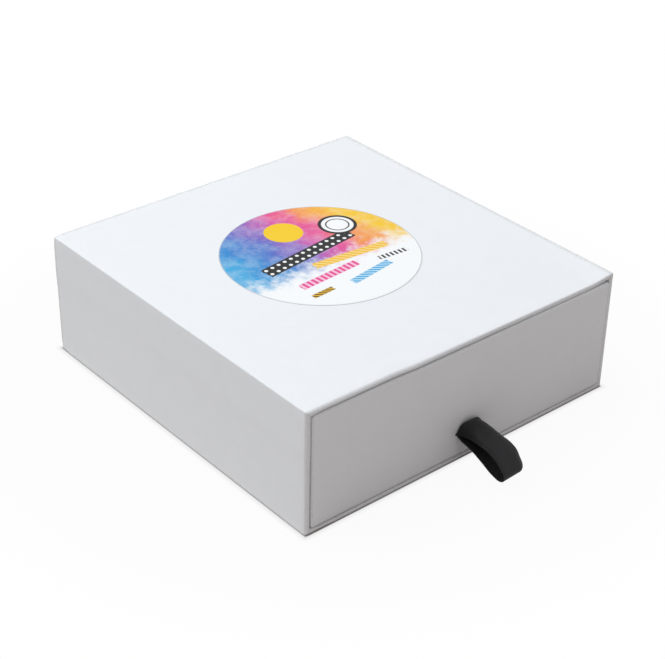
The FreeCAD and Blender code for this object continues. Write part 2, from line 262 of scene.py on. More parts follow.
FRONT_WATTS, OVERHEAD_WATTS = 3.0, 42.4
soft_lamp("front_softbox", (-0.35, -1.05, 1.9), (0, -0.05, 0.03), 0.9, FRONT_WATTS, (1.0, 0.98, 0.96))
key = soft_lamp("overhead_softbox", (-0.70, 0.86, 2.1), (0, 0, 0.03), 1.8, OVERHEAD_WATTS, (0.933, 1.0, 1.034))
print("key lamp", key.data.energy, "W")

# %% [markdown]
# ## White cover paper
# The wrap is a smooth, uncoated white cover paper of about 157 g per square metre. Three things make it read as
# paper and not as plastic: a faint cloudiness where the fibres lie thicker and thinner, a very fine felt-like relief,
# and edges that are a little grey. The cloudiness and the relief are noise at the size of the real thing. The grey
# follows a value stored on each mesh where the paper goes round an edge. At corners and folds it is rubbed wear.
# Along the sleeve's back edges and the right edge of its top it is painted shade, where those edges round away from
# the light.

# %% Paper material
FIBRE_MM = 0.5            # relief of the fibres; finer in reality, drawn as coarse as it can show
CLOUD_MM = 7.0            # size of the cloudy patches


def paper_material(name, colour, cloud_colour, worn_and_shaded_colour, roughness, relief):
    """White paper: cloudy colour, fibre relief, and edges greyed where the mesh's wear value is high: rubbed wear,
    and painted shade.
    """
    material, tree, output = new_material(name)
    place = add(tree, "ShaderNodeTexCoord").outputs["Object"]
    clouds = add(tree, "ShaderNodeTexNoise", {"Vector": place, "Scale": 1 / (CLOUD_MM * MM), "Detail": 3.0,
                                              "Roughness": 0.6})
    tone = add(tree, "ShaderNodeMix", {0: clouds.outputs["Fac"], 6: linear(colour), 7: linear(cloud_colour)},
               data_type="RGBA")
    wear = add(tree, "ShaderNodeAttribute", attribute_name="wear")
    scuff_and_shade_patches = add(tree, "ShaderNodeTexNoise", {"Vector": place, "Scale": 1 / (1.6 * MM), "Detail": 4.0,
                                              "Roughness": 0.7})
    patchy = add(tree, "ShaderNodeMapRange", {"Value": scuff_and_shade_patches.outputs["Fac"], "From Min": 0.35, "From Max": 0.7,
                                              "To Min": 0.25, "To Max": 1.0})
    rubbed_and_shaded = maths(tree, "MULTIPLY", wear.outputs["Fac"], patchy.outputs["Result"])
    tinted = add(tree, "ShaderNodeMix", {0: rubbed_and_shaded.outputs[0], 6: tone.outputs[2], 7: linear(worn_and_shaded_colour)},
                 data_type="RGBA")
    fibres = add(tree, "ShaderNodeTexNoise", {"Vector": place, "Scale": 1 / (FIBRE_MM * MM), "Detail": 2.0})
    glue = add(tree, "ShaderNodeTexNoise", {"Vector": place, "Scale": 1 / (4 * MM), "Detail": 1.0})
    height = maths(tree, "MULTIPLY_ADD", glue.outputs["Fac"], 2.0, fibres.outputs["Fac"])
    bump = add(tree, "ShaderNodeBump", {"Strength": relief, "Distance": 0.02 * MM, "Height": height.outputs[0]})
    rough = add(tree, "ShaderNodeMapRange", {"Value": clouds.outputs["Fac"], "To Min": roughness - 0.05,
                                             "To Max": roughness + 0.05})
    shader = add(tree, "ShaderNodeBsdfPrincipled", {"Base Color": tinted.outputs[2],
                                                    "Roughness": rough.outputs["Result"],
                                                    "Normal": bump.outputs["Normal"], "IOR": 1.5,
                                                    "Specular IOR Level": 0.35})
    tree.links.new(shader.outputs[0], output.inputs["Surface"])
    return material


# d3d3d2 is the grey of rubbed edges, and also the painted shade along the sleeve's back edges
cover_paper = paper_material("uncoated_cover_paper", "#f5f6f8", "#f1f2f5", "#d3d3d2", 0.62, 0.5)
lining_paper = paper_material("thin_lining_paper", "#f1f0ec", "#eceae5", "#d8d4cc", 0.75, 0.7)
print("papers:", cover_paper.name, lining_paper.name)

# %% [markdown]
# ## Grey board and gummed tape
# Grey board is pressed waste paper: grey-brown, with darker and lighter flecks of fibre. It hardly shows, only at
# its cut edge inside the ribbon's slit. The boards' corners are held by brown gummed paper tape, which
# lies under the wrap.

# %% Board and tape materials


def flecked_material(name, colour, dark, light, fleck_mm, roughness):
    """Rough pulp: a base colour with dark and light flecks and a coarse relief."""
    material, tree, output = new_material(name)
    place = add(tree, "ShaderNodeTexCoord").outputs["Object"]
    flecks = add(tree, "ShaderNodeTexNoise", {"Vector": place, "Scale": 1 / (fleck_mm * MM), "Detail": 3.0,
                                              "Roughness": 0.75})
    ramp = add(tree, "ShaderNodeValToRGB", {"Fac": flecks.outputs["Fac"]})
    for position, tone in zip((0.3, 0.5, 0.7), (dark, colour, light)):
        stop = ramp.color_ramp.elements[0] if position == 0.3 else ramp.color_ramp.elements.new(position)
        stop.position = position
        stop.color = linear(tone)
    ramp.color_ramp.elements.remove(ramp.color_ramp.elements[-1])
    bump = add(tree, "ShaderNodeBump", {"Strength": 0.6, "Distance": 0.05 * MM, "Height": flecks.outputs["Fac"]})
    shader = add(tree, "ShaderNodeBsdfPrincipled", {"Base Color": ramp.outputs["Color"], "Roughness": roughness,
                                                    "Normal": bump.outputs["Normal"]})
    tree.links.new(shader.outputs[0], output.inputs["Surface"])
    return material


grey_board = flecked_material("pressed_grey_board", "#9a958b", "#7d7870", "#aba69c", 0.8, 0.9)
gummed_tape = flecked_material("gummed_kraft_tape", "#c9a877", "#b3925f", "#d6b98c", 0.6, 0.7)
print("board and tape:", grey_board.name, gummed_tape.name)

# %% [markdown]
# ## How the sleeve gives
# A paper-covered box is never quite true. The top wall of this one has sunk a little along the mouth, by less than a
# millimetre and mostly on the right, both lips are pressed a little thinner in the middle of the mouth, and the rear
# left corners have been knocked blunt. Every layer moves with it:
# board, tape, lining and wrap. So one Geometry Nodes tree holds the rule, as a Set Position node driven by the
# point's own place, and each piece of the sleeve is passed through it.

# %% The tree that lets the sleeve give


def new_tree(name, sockets):
    """A geometry tree with a geometry input and output and the named inputs: name, kind, value."""
    tree = bpy.data.node_groups.new(name, "GeometryNodeTree")
    tree.interface.new_socket("Geometry", in_out="INPUT", socket_type="NodeSocketGeometry")
    for label, kind, value in sockets:
        socket = tree.interface.new_socket(label, in_out="INPUT", socket_type=kind)
        if value is not None:
            socket.default_value = value
    tree.interface.new_socket("Geometry", in_out="OUTPUT", socket_type="NodeSocketGeometry")
    return tree, tree.nodes.new("NodeGroupInput"), tree.nodes.new("NodeGroupOutput")


def finish_tree(tree, given, result, geometry):
    """End a tree the way every tree ends here: real geometry, with its material."""
    real = add(tree, "GeometryNodeRealizeInstances", {0: geometry})
    dressed = add(tree, "GeometryNodeSetMaterial", {"Geometry": real.outputs[0],
                                                    "Material": given.outputs["Material"]})
    tree.links.new(dressed.outputs[0], result.inputs[0])


def step_node(tree, value, start, end, low, high):
    """A smooth step of a value from low to high. Start and end are in metres."""
    return add(tree, "ShaderNodeMapRange", {"Value": value, "From Min": start, "From Max": end,
                                            "To Min": low, "To Max": high},
               interpolation_type="SMOOTHSTEP").outputs["Result"]


give_tree, given, result = new_tree("sleeve_gives", [
    ("Sag", "NodeSocketFloat", 0.001),
    ("Lower Dent", "NodeSocketFloat", 0.0003),
    ("Upper Dent", "NodeSocketFloat", 0.0003),
    ("Lip Press", "NodeSocketFloat", 0.0006),
    ("Top Lip Press", "NodeSocketFloat", -0.0004),
    ("Material", "NodeSocketMaterial", None),
])
point = add(give_tree, "GeometryNodeInputPosition").outputs[0]
xyz = add(give_tree, "ShaderNodeSeparateXYZ", {0: point})
x, y, z = xyz.outputs
sinks = step_node(give_tree, x, -0.038, -0.027, 0.0, 0.62)
deepens = step_node(give_tree, x, -0.027, 0.058, 0.0, 0.38)
recovers = step_node(give_tree, x, 0.067, 0.0785, 1.0, 0.0)
near_mouth = step_node(give_tree, y, MOUTH_Y * MM, (MOUTH_Y + 55) * MM, 1.0, 0.0)
top_wall = step_node(give_tree, z, (SLEEVE_TOP - 6.5) * MM, (SLEEVE_TOP - WALL - 0.3) * MM, 0.0, 1.0)
amount = maths(give_tree, "ADD", sinks, deepens).outputs[0]
for factor in (recovers, near_mouth, top_wall, given.outputs["Sag"]):
    amount = maths(give_tree, "MULTIPLY", amount, factor).outputs[0]
aside = maths(give_tree, "ABSOLUTE", x).outputs[0]
lip_steps = (step_node(give_tree, y, (MOUTH_Y + 1) * MM, (MOUTH_Y + 8) * MM, 1.0, 0.0),
             step_node(give_tree, aside, (SLEEVE_X - WALL - 1.6) * MM, (SLEEVE_X - WALL - 0.3) * MM, 1.0, 0.0))
for press, (start, full, still_full, end) in (
        ("Lip Press", (0.9, 1.9, WALL + 0.2, WALL + 0.4)),
        ("Top Lip Press", (SLEEVE_TOP - WALL - 0.4, SLEEVE_TOP - WALL - 0.2, SLEEVE_TOP - 1.9, SLEEVE_TOP - 0.9))):
    pressed = given.outputs[press]
    for factor in (*lip_steps, step_node(give_tree, z, start * MM, full * MM, 0.0, 1.0),
                   step_node(give_tree, z, still_full * MM, end * MM, 1.0, 0.0)):
        pressed = maths(give_tree, "MULTIPLY", pressed, factor).outputs[0]
    amount = maths(give_tree, "ADD", amount, pressed).outputs[0]
down = add(give_tree, "ShaderNodeVectorMath", {0: (0.0, 0.0, -1.0), "Scale": amount}, operation="SCALE")
shift = down.outputs[0]
for corner_z, inward, dent in ((0.0, 1.0, "Lower Dent"), (SLEEVE_TOP, -1.0, "Upper Dent")):
    corner = (-SLEEVE_X * MM, back_high.y * MM, corner_z * MM)
    far = add(give_tree, "ShaderNodeVectorMath", {0: point, 1: corner}, operation="DISTANCE").outputs["Value"]
    near = step_node(give_tree, far, 0.0, 0.0048, 1.0, 0.0)
    push = maths(give_tree, "MULTIPLY", near, given.outputs[dent]).outputs[0]
    moved = add(give_tree, "ShaderNodeVectorMath", {0: (0.75, -0.75, 0.8 * inward), "Scale": push},
                operation="SCALE")
    shift = add(give_tree, "ShaderNodeVectorMath", {0: shift, 1: moved.outputs[0]}, operation="ADD").outputs[0]
settled = add(give_tree, "GeometryNodeSetPosition", {"Geometry": given.outputs[0], "Offset": shift})
finish_tree(give_tree, given, result, settled.outputs[0])
print("tree", give_tree.name, "with", len(give_tree.nodes), "nodes")

# %% [markdown]
# ## From a rule to a mesh
# The next cell has the tools that all sheets of paper here are made with. A sheet is a grid of points: rows
# run along a path that goes over the edges, and columns run beside it. Corners of the path are rounded, because
# paper can't turn a sharp corner. A Solidify modifier gives it thickness towards the board, a tree may then move it,
# and the result is stored as a plain mesh.

# %% Sheet tools
SHEET = 0.15              # how thick the paper shows, in millimetres


def rounded_path(corners, radii, spacing):
    """Points along straight runs, with an arc at each inner corner of a radius above 0. Millimetres."""
    corners = [np.array(c, float) for c in corners]
    points = [corners[0]]
    for before, corner, after, radius in zip(corners, corners[1:], corners[2:], radii):
        if radius == 0:
            points.append(corner)
            continue
        arrive = (corner - before) / np.linalg.norm(corner - before)
        leave = (after - corner) / np.linalg.norm(after - corner)
        turn = math.acos(np.clip(arrive @ leave, -1, 1))
        reach = radius * math.tan(turn / 2)
        start, end = corner - arrive * reach, corner + leave * reach
        points.append(start)
        steps = 6
        middle = start + (leave - arrive * (arrive @ leave)) / math.sin(turn) * radius
        for i in range(1, steps):
            angle = turn * i / steps
            points.append(middle + (start - middle) * math.cos(angle) + arrive * radius * math.sin(angle))
        points.append(end)
    points.append(corners[-1])
    return fill_runs(points, spacing)


def fill_runs(points, spacing):
    """Add evenly spaced points to every run that is longer than the spacing."""
    filled = [points[0]]
    for a, b in zip(points, points[1:]):
        count = max(1, math.ceil(np.linalg.norm(np.array(b) - np.array(a)) / spacing - 1e-6))
        filled += [a + (b - a) * (i / count) for i in range(1, count + 1)]
    return filled


def grid_mesh(name, rows, keep=lambda i, j: True, wear=None):
    """A mesh from rows of points in millimetres. Faces where keep is false are left out."""
    width = len(rows[0])
    points = [tuple(float(v) * MM for v in p) for row in rows for p in row]
    faces = [(i * width + j, i * width + j + 1, (i + 1) * width + j + 1, (i + 1) * width + j)
             for i in range(len(rows) - 1) for j in range(width - 1) if keep(i, j)]
    mesh = bpy.data.meshes.new(name)
    mesh.from_pydata(points, [], faces)
    if wear is not None:
        layer = mesh.attributes.new("wear", "FLOAT", "POINT")
        layer.data.foreach_set("value", np.array(wear, np.float32).ravel())
    work = bmesh.new()
    work.from_mesh(mesh)
    bmesh.ops.delete(work, geom=[v for v in work.verts if not v.link_faces], context="VERTS")
    bmesh.ops.remove_doubles(work, verts=work.verts, dist=0.002 * MM)
    work.to_mesh(mesh)
    work.free()
    return mesh


def fill_holes(mesh, below=math.inf):
    """Close the open edges that lie below a height in millimetres, and turn all faces outwards."""
    work = bmesh.new()
    work.from_mesh(mesh)
    open_edges = [e for e in work.edges if e.is_boundary and all(v.co.z < below * MM for v in e.verts)]
    bmesh.ops.holes_fill(work, edges=open_edges, sides=0)
    bmesh.ops.recalc_face_normals(work, faces=work.faces)
    work.to_mesh(mesh)
    work.free()


def thicken(obj, thickness):
    """Give a sheet its thickness, towards the board that it covers. Millimetres."""
    modifier = obj.modifiers.new("thickness", "SOLIDIFY")
    modifier.thickness = thickness * MM
    modifier.offset = -1.0
    modifier.use_even_offset = True


def temporary(mesh):
    """An object to hold a mesh while modifiers work on it."""
    obj = bpy.data.objects.new(mesh.name + "_work", mesh)
    bpy.context.scene.collection.objects.link(obj)
    return obj


def solid_result(obj, name, material, tree=None, **values):
    """Run an object's modifiers, and a tree after them, into a plain mesh object. The first object goes."""
    if tree is not None:
        modifier = obj.modifiers.new("tree", "NODES")
        modifier.node_group = tree
        values["Material"] = material
        for item in tree.interface.items_tree:
            if item.in_out == "INPUT" and item.name in values:
                modifier[item.identifier] = values[item.name]
    bpy.context.view_layer.update()
    evaluated = obj.evaluated_get(bpy.context.evaluated_depsgraph_get())
    mesh = bpy.data.meshes.new_from_object(evaluated)
    bpy.data.objects.remove(obj)
    mesh.name = name
    mesh.materials.clear()
    mesh.materials.append(material)
    final = bpy.data.objects.new(name, mesh)
    bpy.context.scene.collection.objects.link(final)
    return final


def smooth(obj, angle=35.0):
    """Smooth shading, but sharp where faces meet at more than the angle."""
    obj.data.polygons.foreach_set("use_smooth", [True] * len(obj.data.polygons))
    obj.data.set_sharp_from_angle(angle=math.radians(angle))
    return obj


def settle(obj, body, slot, *nodes):
    """Let a finished piece ride on its body and stand for the nodes that it replaces. Its slot is not used."""
    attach(obj, body)
    if nodes:
        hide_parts(*nodes)
    print(obj.name, len(obj.data.polygons), "faces")
    return obj


# %% [markdown]
# ## The sleeve's wrap
# One sheet of paper goes once round the sleeve. It starts on the left side, goes under, up the right side and over
# the top, and ends on the left side again, over its own start: that lap is the faint line along the left. At the
# mouth the sheet is folded round the boards' ends and glued inside, and at the back it is folded over the edges. It
# is drawn here as such a sheet. Each column keeps its place along the outline, and each row is a step along the fold:
# how far in from the outside, and how far back. At the four corners the paper is slit, so it can be folded in, and
# one column of faces is left out there.

# %% Outline and folds of the sleeve's wrap
LAP_END = SLEEVE_TOP - 19.3     # lower edge of the lapping end
LAP_START = LAP_END + 6.5       # upper edge of the other end, under it
LAP_RISE = 0.07                 # the lap stands out by one sheet
LAP_HOLLOW = 0.09                # and the sheet under it slopes in below the lap's edge
EDGE_RADIUS = 0.5
LIP_RADIUS = 0.8                # where the paper is pulled tight round the mouth
LIP_SOFT_RADIUS = 1.45          # and on the left, where it isn't
LIP_INNER_RADIUS = 0.4
BACK_RADIUS = 0.5
MOUTH_FOLD = 15.0
BACK_FOLD = 15.0
PAINTED_SHADE_BAND = 2.2               # the back edges are painted grey over this width: painted shade
CORNER_STEPS = 6


def outline_columns():
    """The sheet's columns: which stretch of the outline, and how far along it."""
    flat = {"left_low": 11, "bottom": 40, "right": 14, "top": 44, "left_high": 6}
    columns = [("left_low", i / flat["left_low"]) for i in range(flat["left_low"] + 1)]
    for corner, stretch in (("bottom_left", "bottom"), ("bottom_right", "right"), ("top_right", "top"),
                            ("top_left", "left_high")):
        columns += [(corner, i / CORNER_STEPS) for i in range(1, CORNER_STEPS)]
        columns += [(stretch, i / flat[stretch]) for i in range(flat[stretch] + 1)]
    right_edge = columns.index(("top", 0.0))
    columns.insert(right_edge + 1, ("top", PAINTED_SHADE_BAND / (2 * SLEEVE_X)))
    return columns


def outline_point(stretch, share, inset):
    """Place across and up of a column, for a given inset from the outside."""
    radius = max(EDGE_RADIUS - 0.3 * inset, 0.25)
    right, low, high = SLEEVE_X - inset, inset, SLEEVE_TOP - inset
    flat_x, flat_low, flat_high = right - radius, low + radius, high - radius
    turns = {"bottom_left": (-flat_x, flat_low, 180), "bottom_right": (flat_x, flat_low, 270),
             "top_right": (flat_x, flat_high, 0), "top_left": (-flat_x, flat_high, 90)}
    if stretch in turns:
        middle_x, middle_z, start = turns[stretch]
        angle = math.radians(start + 90 * share)
        return middle_x + radius * math.cos(angle), middle_z + radius * math.sin(angle)
    if stretch == "bottom":
        return flat_x * (2 * share - 1), low
    if stretch == "right":
        return right, flat_low + (flat_high - flat_low) * share
    if stretch == "top":
        return flat_x * (1 - 2 * share), high
    if stretch == "left_low":
        return -right, LAP_START + (flat_low - LAP_START) * share
    return -right, flat_high + (LAP_END - flat_high) * share


def ease(share):
    """A smooth step from 0 to 1."""
    share = min(max(share, 0.0), 1.0)
    return share * share * (3 - 2 * share)


def lap_depth(stretch, share, height):
    """How far a column lies behind the lap's outer face: the lower layer of the left side, and its hollow."""
    if stretch == "left_low":
        return LAP_RISE + LAP_HOLLOW * ease((LAP_END - height) / 3.5)
    if stretch == "bottom_left":
        return (LAP_RISE + LAP_HOLLOW) * (1 - share)
    if stretch == "left_high":
        return 0.9 * LAP_RISE * ease((height - LAP_START) / 2.5)
    if stretch == "top_left":
        return 0.9 * LAP_RISE * share
    return 0.0


def lip_radius(stretch, across):
    """How round the mouth's outer edge is at a column."""
    if "left" in stretch:
        return LIP_SOFT_RADIUS
    soft = {"top": ease((20 - across) / 60), "bottom": ease((-60 - across) / 18)}.get(stretch, 0.0)
    return LIP_RADIUS + (LIP_SOFT_RADIUS - LIP_RADIUS) * soft


def softened(inset, depth, radius):
    """Move a fold point so that the mouth's outer edge gets another radius than LIP_RADIUS."""
    back, more = depth - MOUTH_Y, radius - LIP_RADIUS
    if inset <= LIP_RADIUS and back <= LIP_RADIUS:
        return inset * radius / LIP_RADIUS, MOUTH_Y + back * radius / LIP_RADIUS
    if inset < 0.001 and back < 20:
        return inset, depth + more * (1 - (back - LIP_RADIUS) / (20 - LIP_RADIUS))
    flat_end = WALL - LIP_INNER_RADIUS
    if back < 0.001 and inset < flat_end:
        return inset + more * (1 - (inset - LIP_RADIUS) / (flat_end - LIP_RADIUS)), depth
    return inset, depth


folds = rounded_path([(BACK_FOLD, SLEEVE_BACK_Y), (0, SLEEVE_BACK_Y), (0, SLEEVE_BACK_Y - PAINTED_SHADE_BAND), (0, MOUTH_Y),
                      (WALL, MOUTH_Y), (WALL, MOUTH_Y + MOUTH_FOLD)],
                     [BACK_RADIUS, 0, LIP_RADIUS, LIP_INNER_RADIUS], 3.0)
columns = outline_columns()
into = []
for k, (inset, depth) in enumerate(folds):
    ahead, behind = folds[min(k + 1, len(folds) - 1)], folds[max(k - 1, 0)]
    run = np.array(ahead) - np.array(behind)
    into.append(np.array([-run[1], run[0]]) / np.linalg.norm(run))    # from the sheet's face into the board
rows, wear = [], []
for (inset, depth), (in_x, in_y) in zip(folds, into):
    row, row_wear = [], []
    for stretch, share in columns:
        across, up = outline_point(stretch, share, inset)
        behind = lap_depth(stretch, share, up)
        soft_inset, soft_depth = softened(inset, depth, lip_radius(stretch, across))
        across, up = outline_point(stretch, share, soft_inset)
        row.append((across + behind * in_x, soft_depth + behind * in_y, up))
        # A column at an outline corner, or a row round the mouth or the back fold, gets a little wear. The last
        # millimetres before the back, the top's right corner and the top's first column get a strong grey instead:
        # painted shade, where these edges round away from the light.
        at_corner = "_left" in stretch or "_right" in stretch
        at_fold = 0.02 < inset < WALL - 0.02 and (depth < MOUTH_Y + 1 or inset < 1.2)
        rubbed_and_shaded = (depth > SLEEVE_BACK_Y - PAINTED_SHADE_BAND + 0.1 or stretch == "top_right"
                  or (stretch, share) == ("top", 0.0))
        row_wear.append(0.95 if rubbed_and_shaded else 0.55 * at_corner + 0.35 * at_fold)
    rows.append(row)
    wear.append(row_wear)
print("wrap grid", len(rows), "rows by", len(columns), "columns")

# %% The sleeve's wrap as a mesh
corner_columns = [j for j, (stretch, share) in enumerate(columns)
                  if stretch in ("bottom_left", "bottom_right", "top_right", "top_left")
                  and abs(share * CORNER_STEPS - (CORNER_STEPS // 2)) < 0.1]
top_right_slit = corner_columns[2]
TORN = (0.8, 2.0)              # the mouth's top right corner is torn open between these depths
lip_rows = [i for i, (inset, depth) in enumerate(folds) if depth < 0 and inset > 0.55]
hem_rows = [i for i, (inset, depth) in enumerate(folds) if depth > 0 and inset > 0.9]


def wrap_keeps(i, j):
    """False for the faces that are slit away where the hems turn in, and at the torn corner of the mouth."""
    if i in hem_rows and i + 1 in hem_rows:
        return j not in corner_columns
    if i in lip_rows and folds[i][1] > MOUTH_Y + 0.4:
        return j not in corner_columns
    if TORN[0] < folds[i][0] < TORN[1] and folds[i][1] < MOUTH_Y + 1.2:
        return not top_right_slit - 3 <= j <= top_right_slit + 2
    return True


mesh = grid_mesh("sleeve_paper", rows, wrap_keeps, wear)
work = temporary(mesh)
thicken(work, SHEET)
sleeve_paper = smooth(solid_result(work, "sleeve_paper", cover_paper, give_tree), 50)
settle(sleeve_paper, "sleeve", "white_wrap_paper", "sleeve_wrap", "sleeve_wrap_underside")

# %% [markdown]
# ## Boards, tape, lining and back sheet of the sleeve
# These pieces have the right shape already, so they are copies of the model's own nodes. Before a copy can follow
# the sagging mouth it needs points to move, so it is cut by planes every few millimetres. The copies are then passed
# through the same tree as the wrap, and no layer pokes through another.

# %% Copies that give with the wrap
CUTS_X = [-78.2, -77.4, -76.5, -75.5, -74.5, -73.0] + list(np.arange(-68.0, 77.0, 8.0))
CUTS_Y = [-80.0, -76.0, -70.0, -62.0, -54.0, -46.0, -38.0, -28.0, 75.5, 77.0, 78.0, 79.0, 79.9, 80.7]
CUTS_Z = [0.9, 1.7, 2.6, 3.6, 4.8, 6.2, 47.8, 49.2, 50.4, 51.4, 52.3, 53.1]


def cut_by_planes(work, cuts_along):
    """Cut a mesh square to x, then y, then z, so that it has points to bend at. Millimetres."""
    for axis, cuts in enumerate(cuts_along):
        normal = Vector([1.0 if i == axis else 0.0 for i in range(3)])
        for cut in cuts:
            everything = list(work.verts) + list(work.edges) + list(work.faces)
            bmesh.ops.bisect_plane(work, geom=everything, plane_co=normal * float(cut * MM), plane_no=normal,
                                   dist=0.001 * MM)


def cut_copy(node, back_from_mouth, clear_of_back):
    """A copy of a node's mesh, merged and cut so that it can bend, and kept clear of the rounded lip."""
    work = bmesh.new()
    work.from_mesh(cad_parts[node].data)
    bmesh.ops.remove_doubles(work, verts=work.verts, dist=0.001 * MM)
    bmesh.ops.dissolve_limit(work, angle_limit=math.radians(0.5), verts=work.verts, edges=work.edges)
    cut_by_planes(work, (CUTS_X, CUTS_Y, CUTS_Z))
    for vertex in work.verts:
        vertex.co.y = min(max(vertex.co.y, (MOUTH_Y + back_from_mouth) * MM), (SLEEVE_BACK_Y - clear_of_back) * MM)
    mesh = bpy.data.meshes.new(node + "_cut")
    work.to_mesh(mesh)
    work.free()
    return mesh


for node, slot, material, back_from_mouth in (
    ("sleeve_top_board", "greyboard", grey_board, 1.2),
    ("sleeve_bottom_board", "greyboard", grey_board, 1.2),
    ("sleeve_left_board", "greyboard", grey_board, 1.6),
    ("sleeve_right_board", "greyboard", grey_board, 0.7),
    ("sleeve_back_board", "greyboard", grey_board, 0.0),
    ("sleeve_corner_tape", "gummed_tape", gummed_tape, 2.2),
    ("sleeve_lining", "lining_paper", lining_paper, 1.1),
    ("sleeve_back_sheet", "white_wrap_paper", cover_paper, 0.0),
):
    clear_of_back = {"sleeve_corner_tape": 6.0, "sleeve_left_board": 0.6}.get(node, -1.0)
    work = temporary(cut_copy(node, back_from_mouth, clear_of_back))
    piece = solid_result(work, node + "_settled", material, give_tree)
    settle(piece, "sleeve", slot, node)

# %% [markdown]
# ## The drawer's wrap
# The drawer is a tray, and one sheet covers its underside and its four walls, goes over the rim and 18 mm down
# inside. The side sheets turn round the front corners first, and the front sheet goes over them: on the front their
# ends show as a fine upright step, because the front sheet sinks by one paper's thickness beyond them. The front
# sheet itself is cut just short of the corners. At the rim's corners the paper meets in a mitre. In the middle of
# the front the sheet has a slit for the ribbon, and it is pulled in a little there.

# %% The tree that sets the drawer askew
FORWARD = 0.9               # the drawer's front comes this far forward at the middle of the left side
SKEW = 0.0025               # and the more so towards the right, as a share of the width
askew_tree, given, result = new_tree("drawer_sits_askew", [
    ("Forward", "NodeSocketFloat", FORWARD * MM),
    ("Skew", "NodeSocketFloat", SKEW),
    ("Rim Rise", "NodeSocketFloat", 0.00085),
    ("Material", "NodeSocketMaterial", None),
])
point = add(askew_tree, "GeometryNodeInputPosition").outputs[0]
from_left = add(askew_tree, "ShaderNodeVectorMath", {0: point, 1: (-drawer_high.x * MM, 0.0, 0.0)},
                operation="SUBTRACT")
from_left = add(askew_tree, "ShaderNodeSeparateXYZ", {0: from_left.outputs[0]}).outputs["X"]
amount = maths(askew_tree, "MULTIPLY_ADD", from_left, given.outputs["Skew"], given.outputs["Forward"])
shift = add(askew_tree, "ShaderNodeVectorMath", {0: (0.0, -1.0, 0.0), "Scale": amount.outputs[0]},
            operation="SCALE")
x, y, z = add(askew_tree, "ShaderNodeSeparateXYZ", {0: point}).outputs
rise = given.outputs["Rim Rise"]
for factor in (step_node(askew_tree, x, -0.042, -0.022, 1.0, 0.25),
               step_node(askew_tree, y, drawer_low.y * MM, (drawer_low.y + 40) * MM, 1.0, 0.0),
               step_node(askew_tree, z, (drawer_high.z - 15) * MM, drawer_high.z * MM, 0.0, 1.0)):
    rise = maths(askew_tree, "MULTIPLY", rise, factor).outputs[0]
up = add(askew_tree, "ShaderNodeVectorMath", {0: (0.0, 0.0, 1.0), "Scale": rise}, operation="SCALE")
shift = add(askew_tree, "ShaderNodeVectorMath", {0: shift.outputs[0], 1: up.outputs[0]}, operation="ADD")
moved = add(askew_tree, "GeometryNodeSetPosition", {"Geometry": given.outputs[0], "Offset": shift.outputs[0]})
finish_tree(askew_tree, given, result, moved.outputs[0])


def forward_at(across):
    """How far forward the drawer sits at a place across it, in millimetres."""
    return FORWARD + SKEW * (across + drawer_high.x)


print("drawer forward by", round(forward_at(-76), 2), "to", round(forward_at(76), 2), "mm")

# %% Outline and folds of the drawer's wrap
HALF_X = drawer_high.x
FRONT_Y = drawer_low.y
BACK_Y = drawer_high.y
BASE_Z = drawer_low.z
RIM_Z = drawer_high.z
RIM_X = 2.15                # wall at the rim, across a side wall
RIM_Y = 2.35                # the same across the front or back, with the flaps under the sheet
TURN_IN_Z = RIM_Z - 18.0
FLAP_X = 59.35
SHEET_END_X = 75.15
STEP = 0.13
CORNER_RADIUS = 0.6
SLIT = (RIBBON_X - 6.7, RIBBON_X + 6.7, SLIT_Z - 0.55, SLIT_Z + 0.55)
DIMPLE = 0.18
MITRE = 0.12

front_places = [-75.4, -75.25, -75.05, -72, -68, -64, -60.6, -59.6, -59.1, -58.1, -54, -48, -42, -36, -30, -24, -18,
                -13, -10, -8.2, -6.6, SLIT[0], -3, 0, 3, 6, SLIT[1], 9.6, 11.2, 13, 16, 21, 27, 33, 39, 45, 51, 55,
                58.1, 59.1, 59.6, 60.6, 64, 68, 72, 75.05, 75.25, 75.4]
side_places = list(np.linspace(FRONT_Y + 1.1, BACK_Y - 1.1, 30))
drawer_columns = [("front", v) for v in front_places]
for corner, wall, places in (("front_right", "right", side_places), ("back_right", "back", front_places[::-1]),
                             ("back_left", "left", side_places[::-1])):
    drawer_columns += [(corner, k / CORNER_STEPS) for k in range(1, CORNER_STEPS)]
    drawer_columns += [(wall, v) for v in places]
drawer_columns += [("front_left", k / CORNER_STEPS) for k in range(1, CORNER_STEPS)]


def drawer_point(wall, where, in_x, in_y, radius):
    """Place across and back of a column, and how squarely it faces the front or back."""
    flat_x, low_y, high_y = HALF_X - in_x - radius, FRONT_Y + in_y + radius, BACK_Y - in_y - radius
    turns = {"front_right": (flat_x, low_y, 270), "back_right": (flat_x, high_y, 0),
             "back_left": (-flat_x, high_y, 90), "front_left": (-flat_x, low_y, 180)}
    if wall in turns:
        middle_x, middle_y, start = turns[wall]
        angle = math.radians(start + 90 * where)
        return middle_x + radius * math.cos(angle), middle_y + radius * math.sin(angle), abs(math.sin(angle))
    if wall in ("front", "back"):
        across = min(max(where, -flat_x), flat_x)
        return across, (low_y - radius if wall == "front" else high_y + radius), 1.0
    back = min(max(where, low_y), high_y)
    return (flat_x + radius if wall == "right" else -flat_x - radius), back, 0.0


def sheet_sinks(across, up):
    """How far the front or back sheet lies behind its highest part."""
    step = 1 - ease((abs(across) - (FLAP_X - 0.35)) / 0.7)
    step = max(step, ease((abs(across) - SHEET_END_X) / 0.1))
    aside = max(SLIT[0] - across, across - SLIT[1], 0.0)
    above = max(SLIT[2] - up, up - SLIT[3], 0.0)
    return STEP * step, DIMPLE * math.exp(-(aside ** 2 + above ** 2) / 2.2 ** 2)


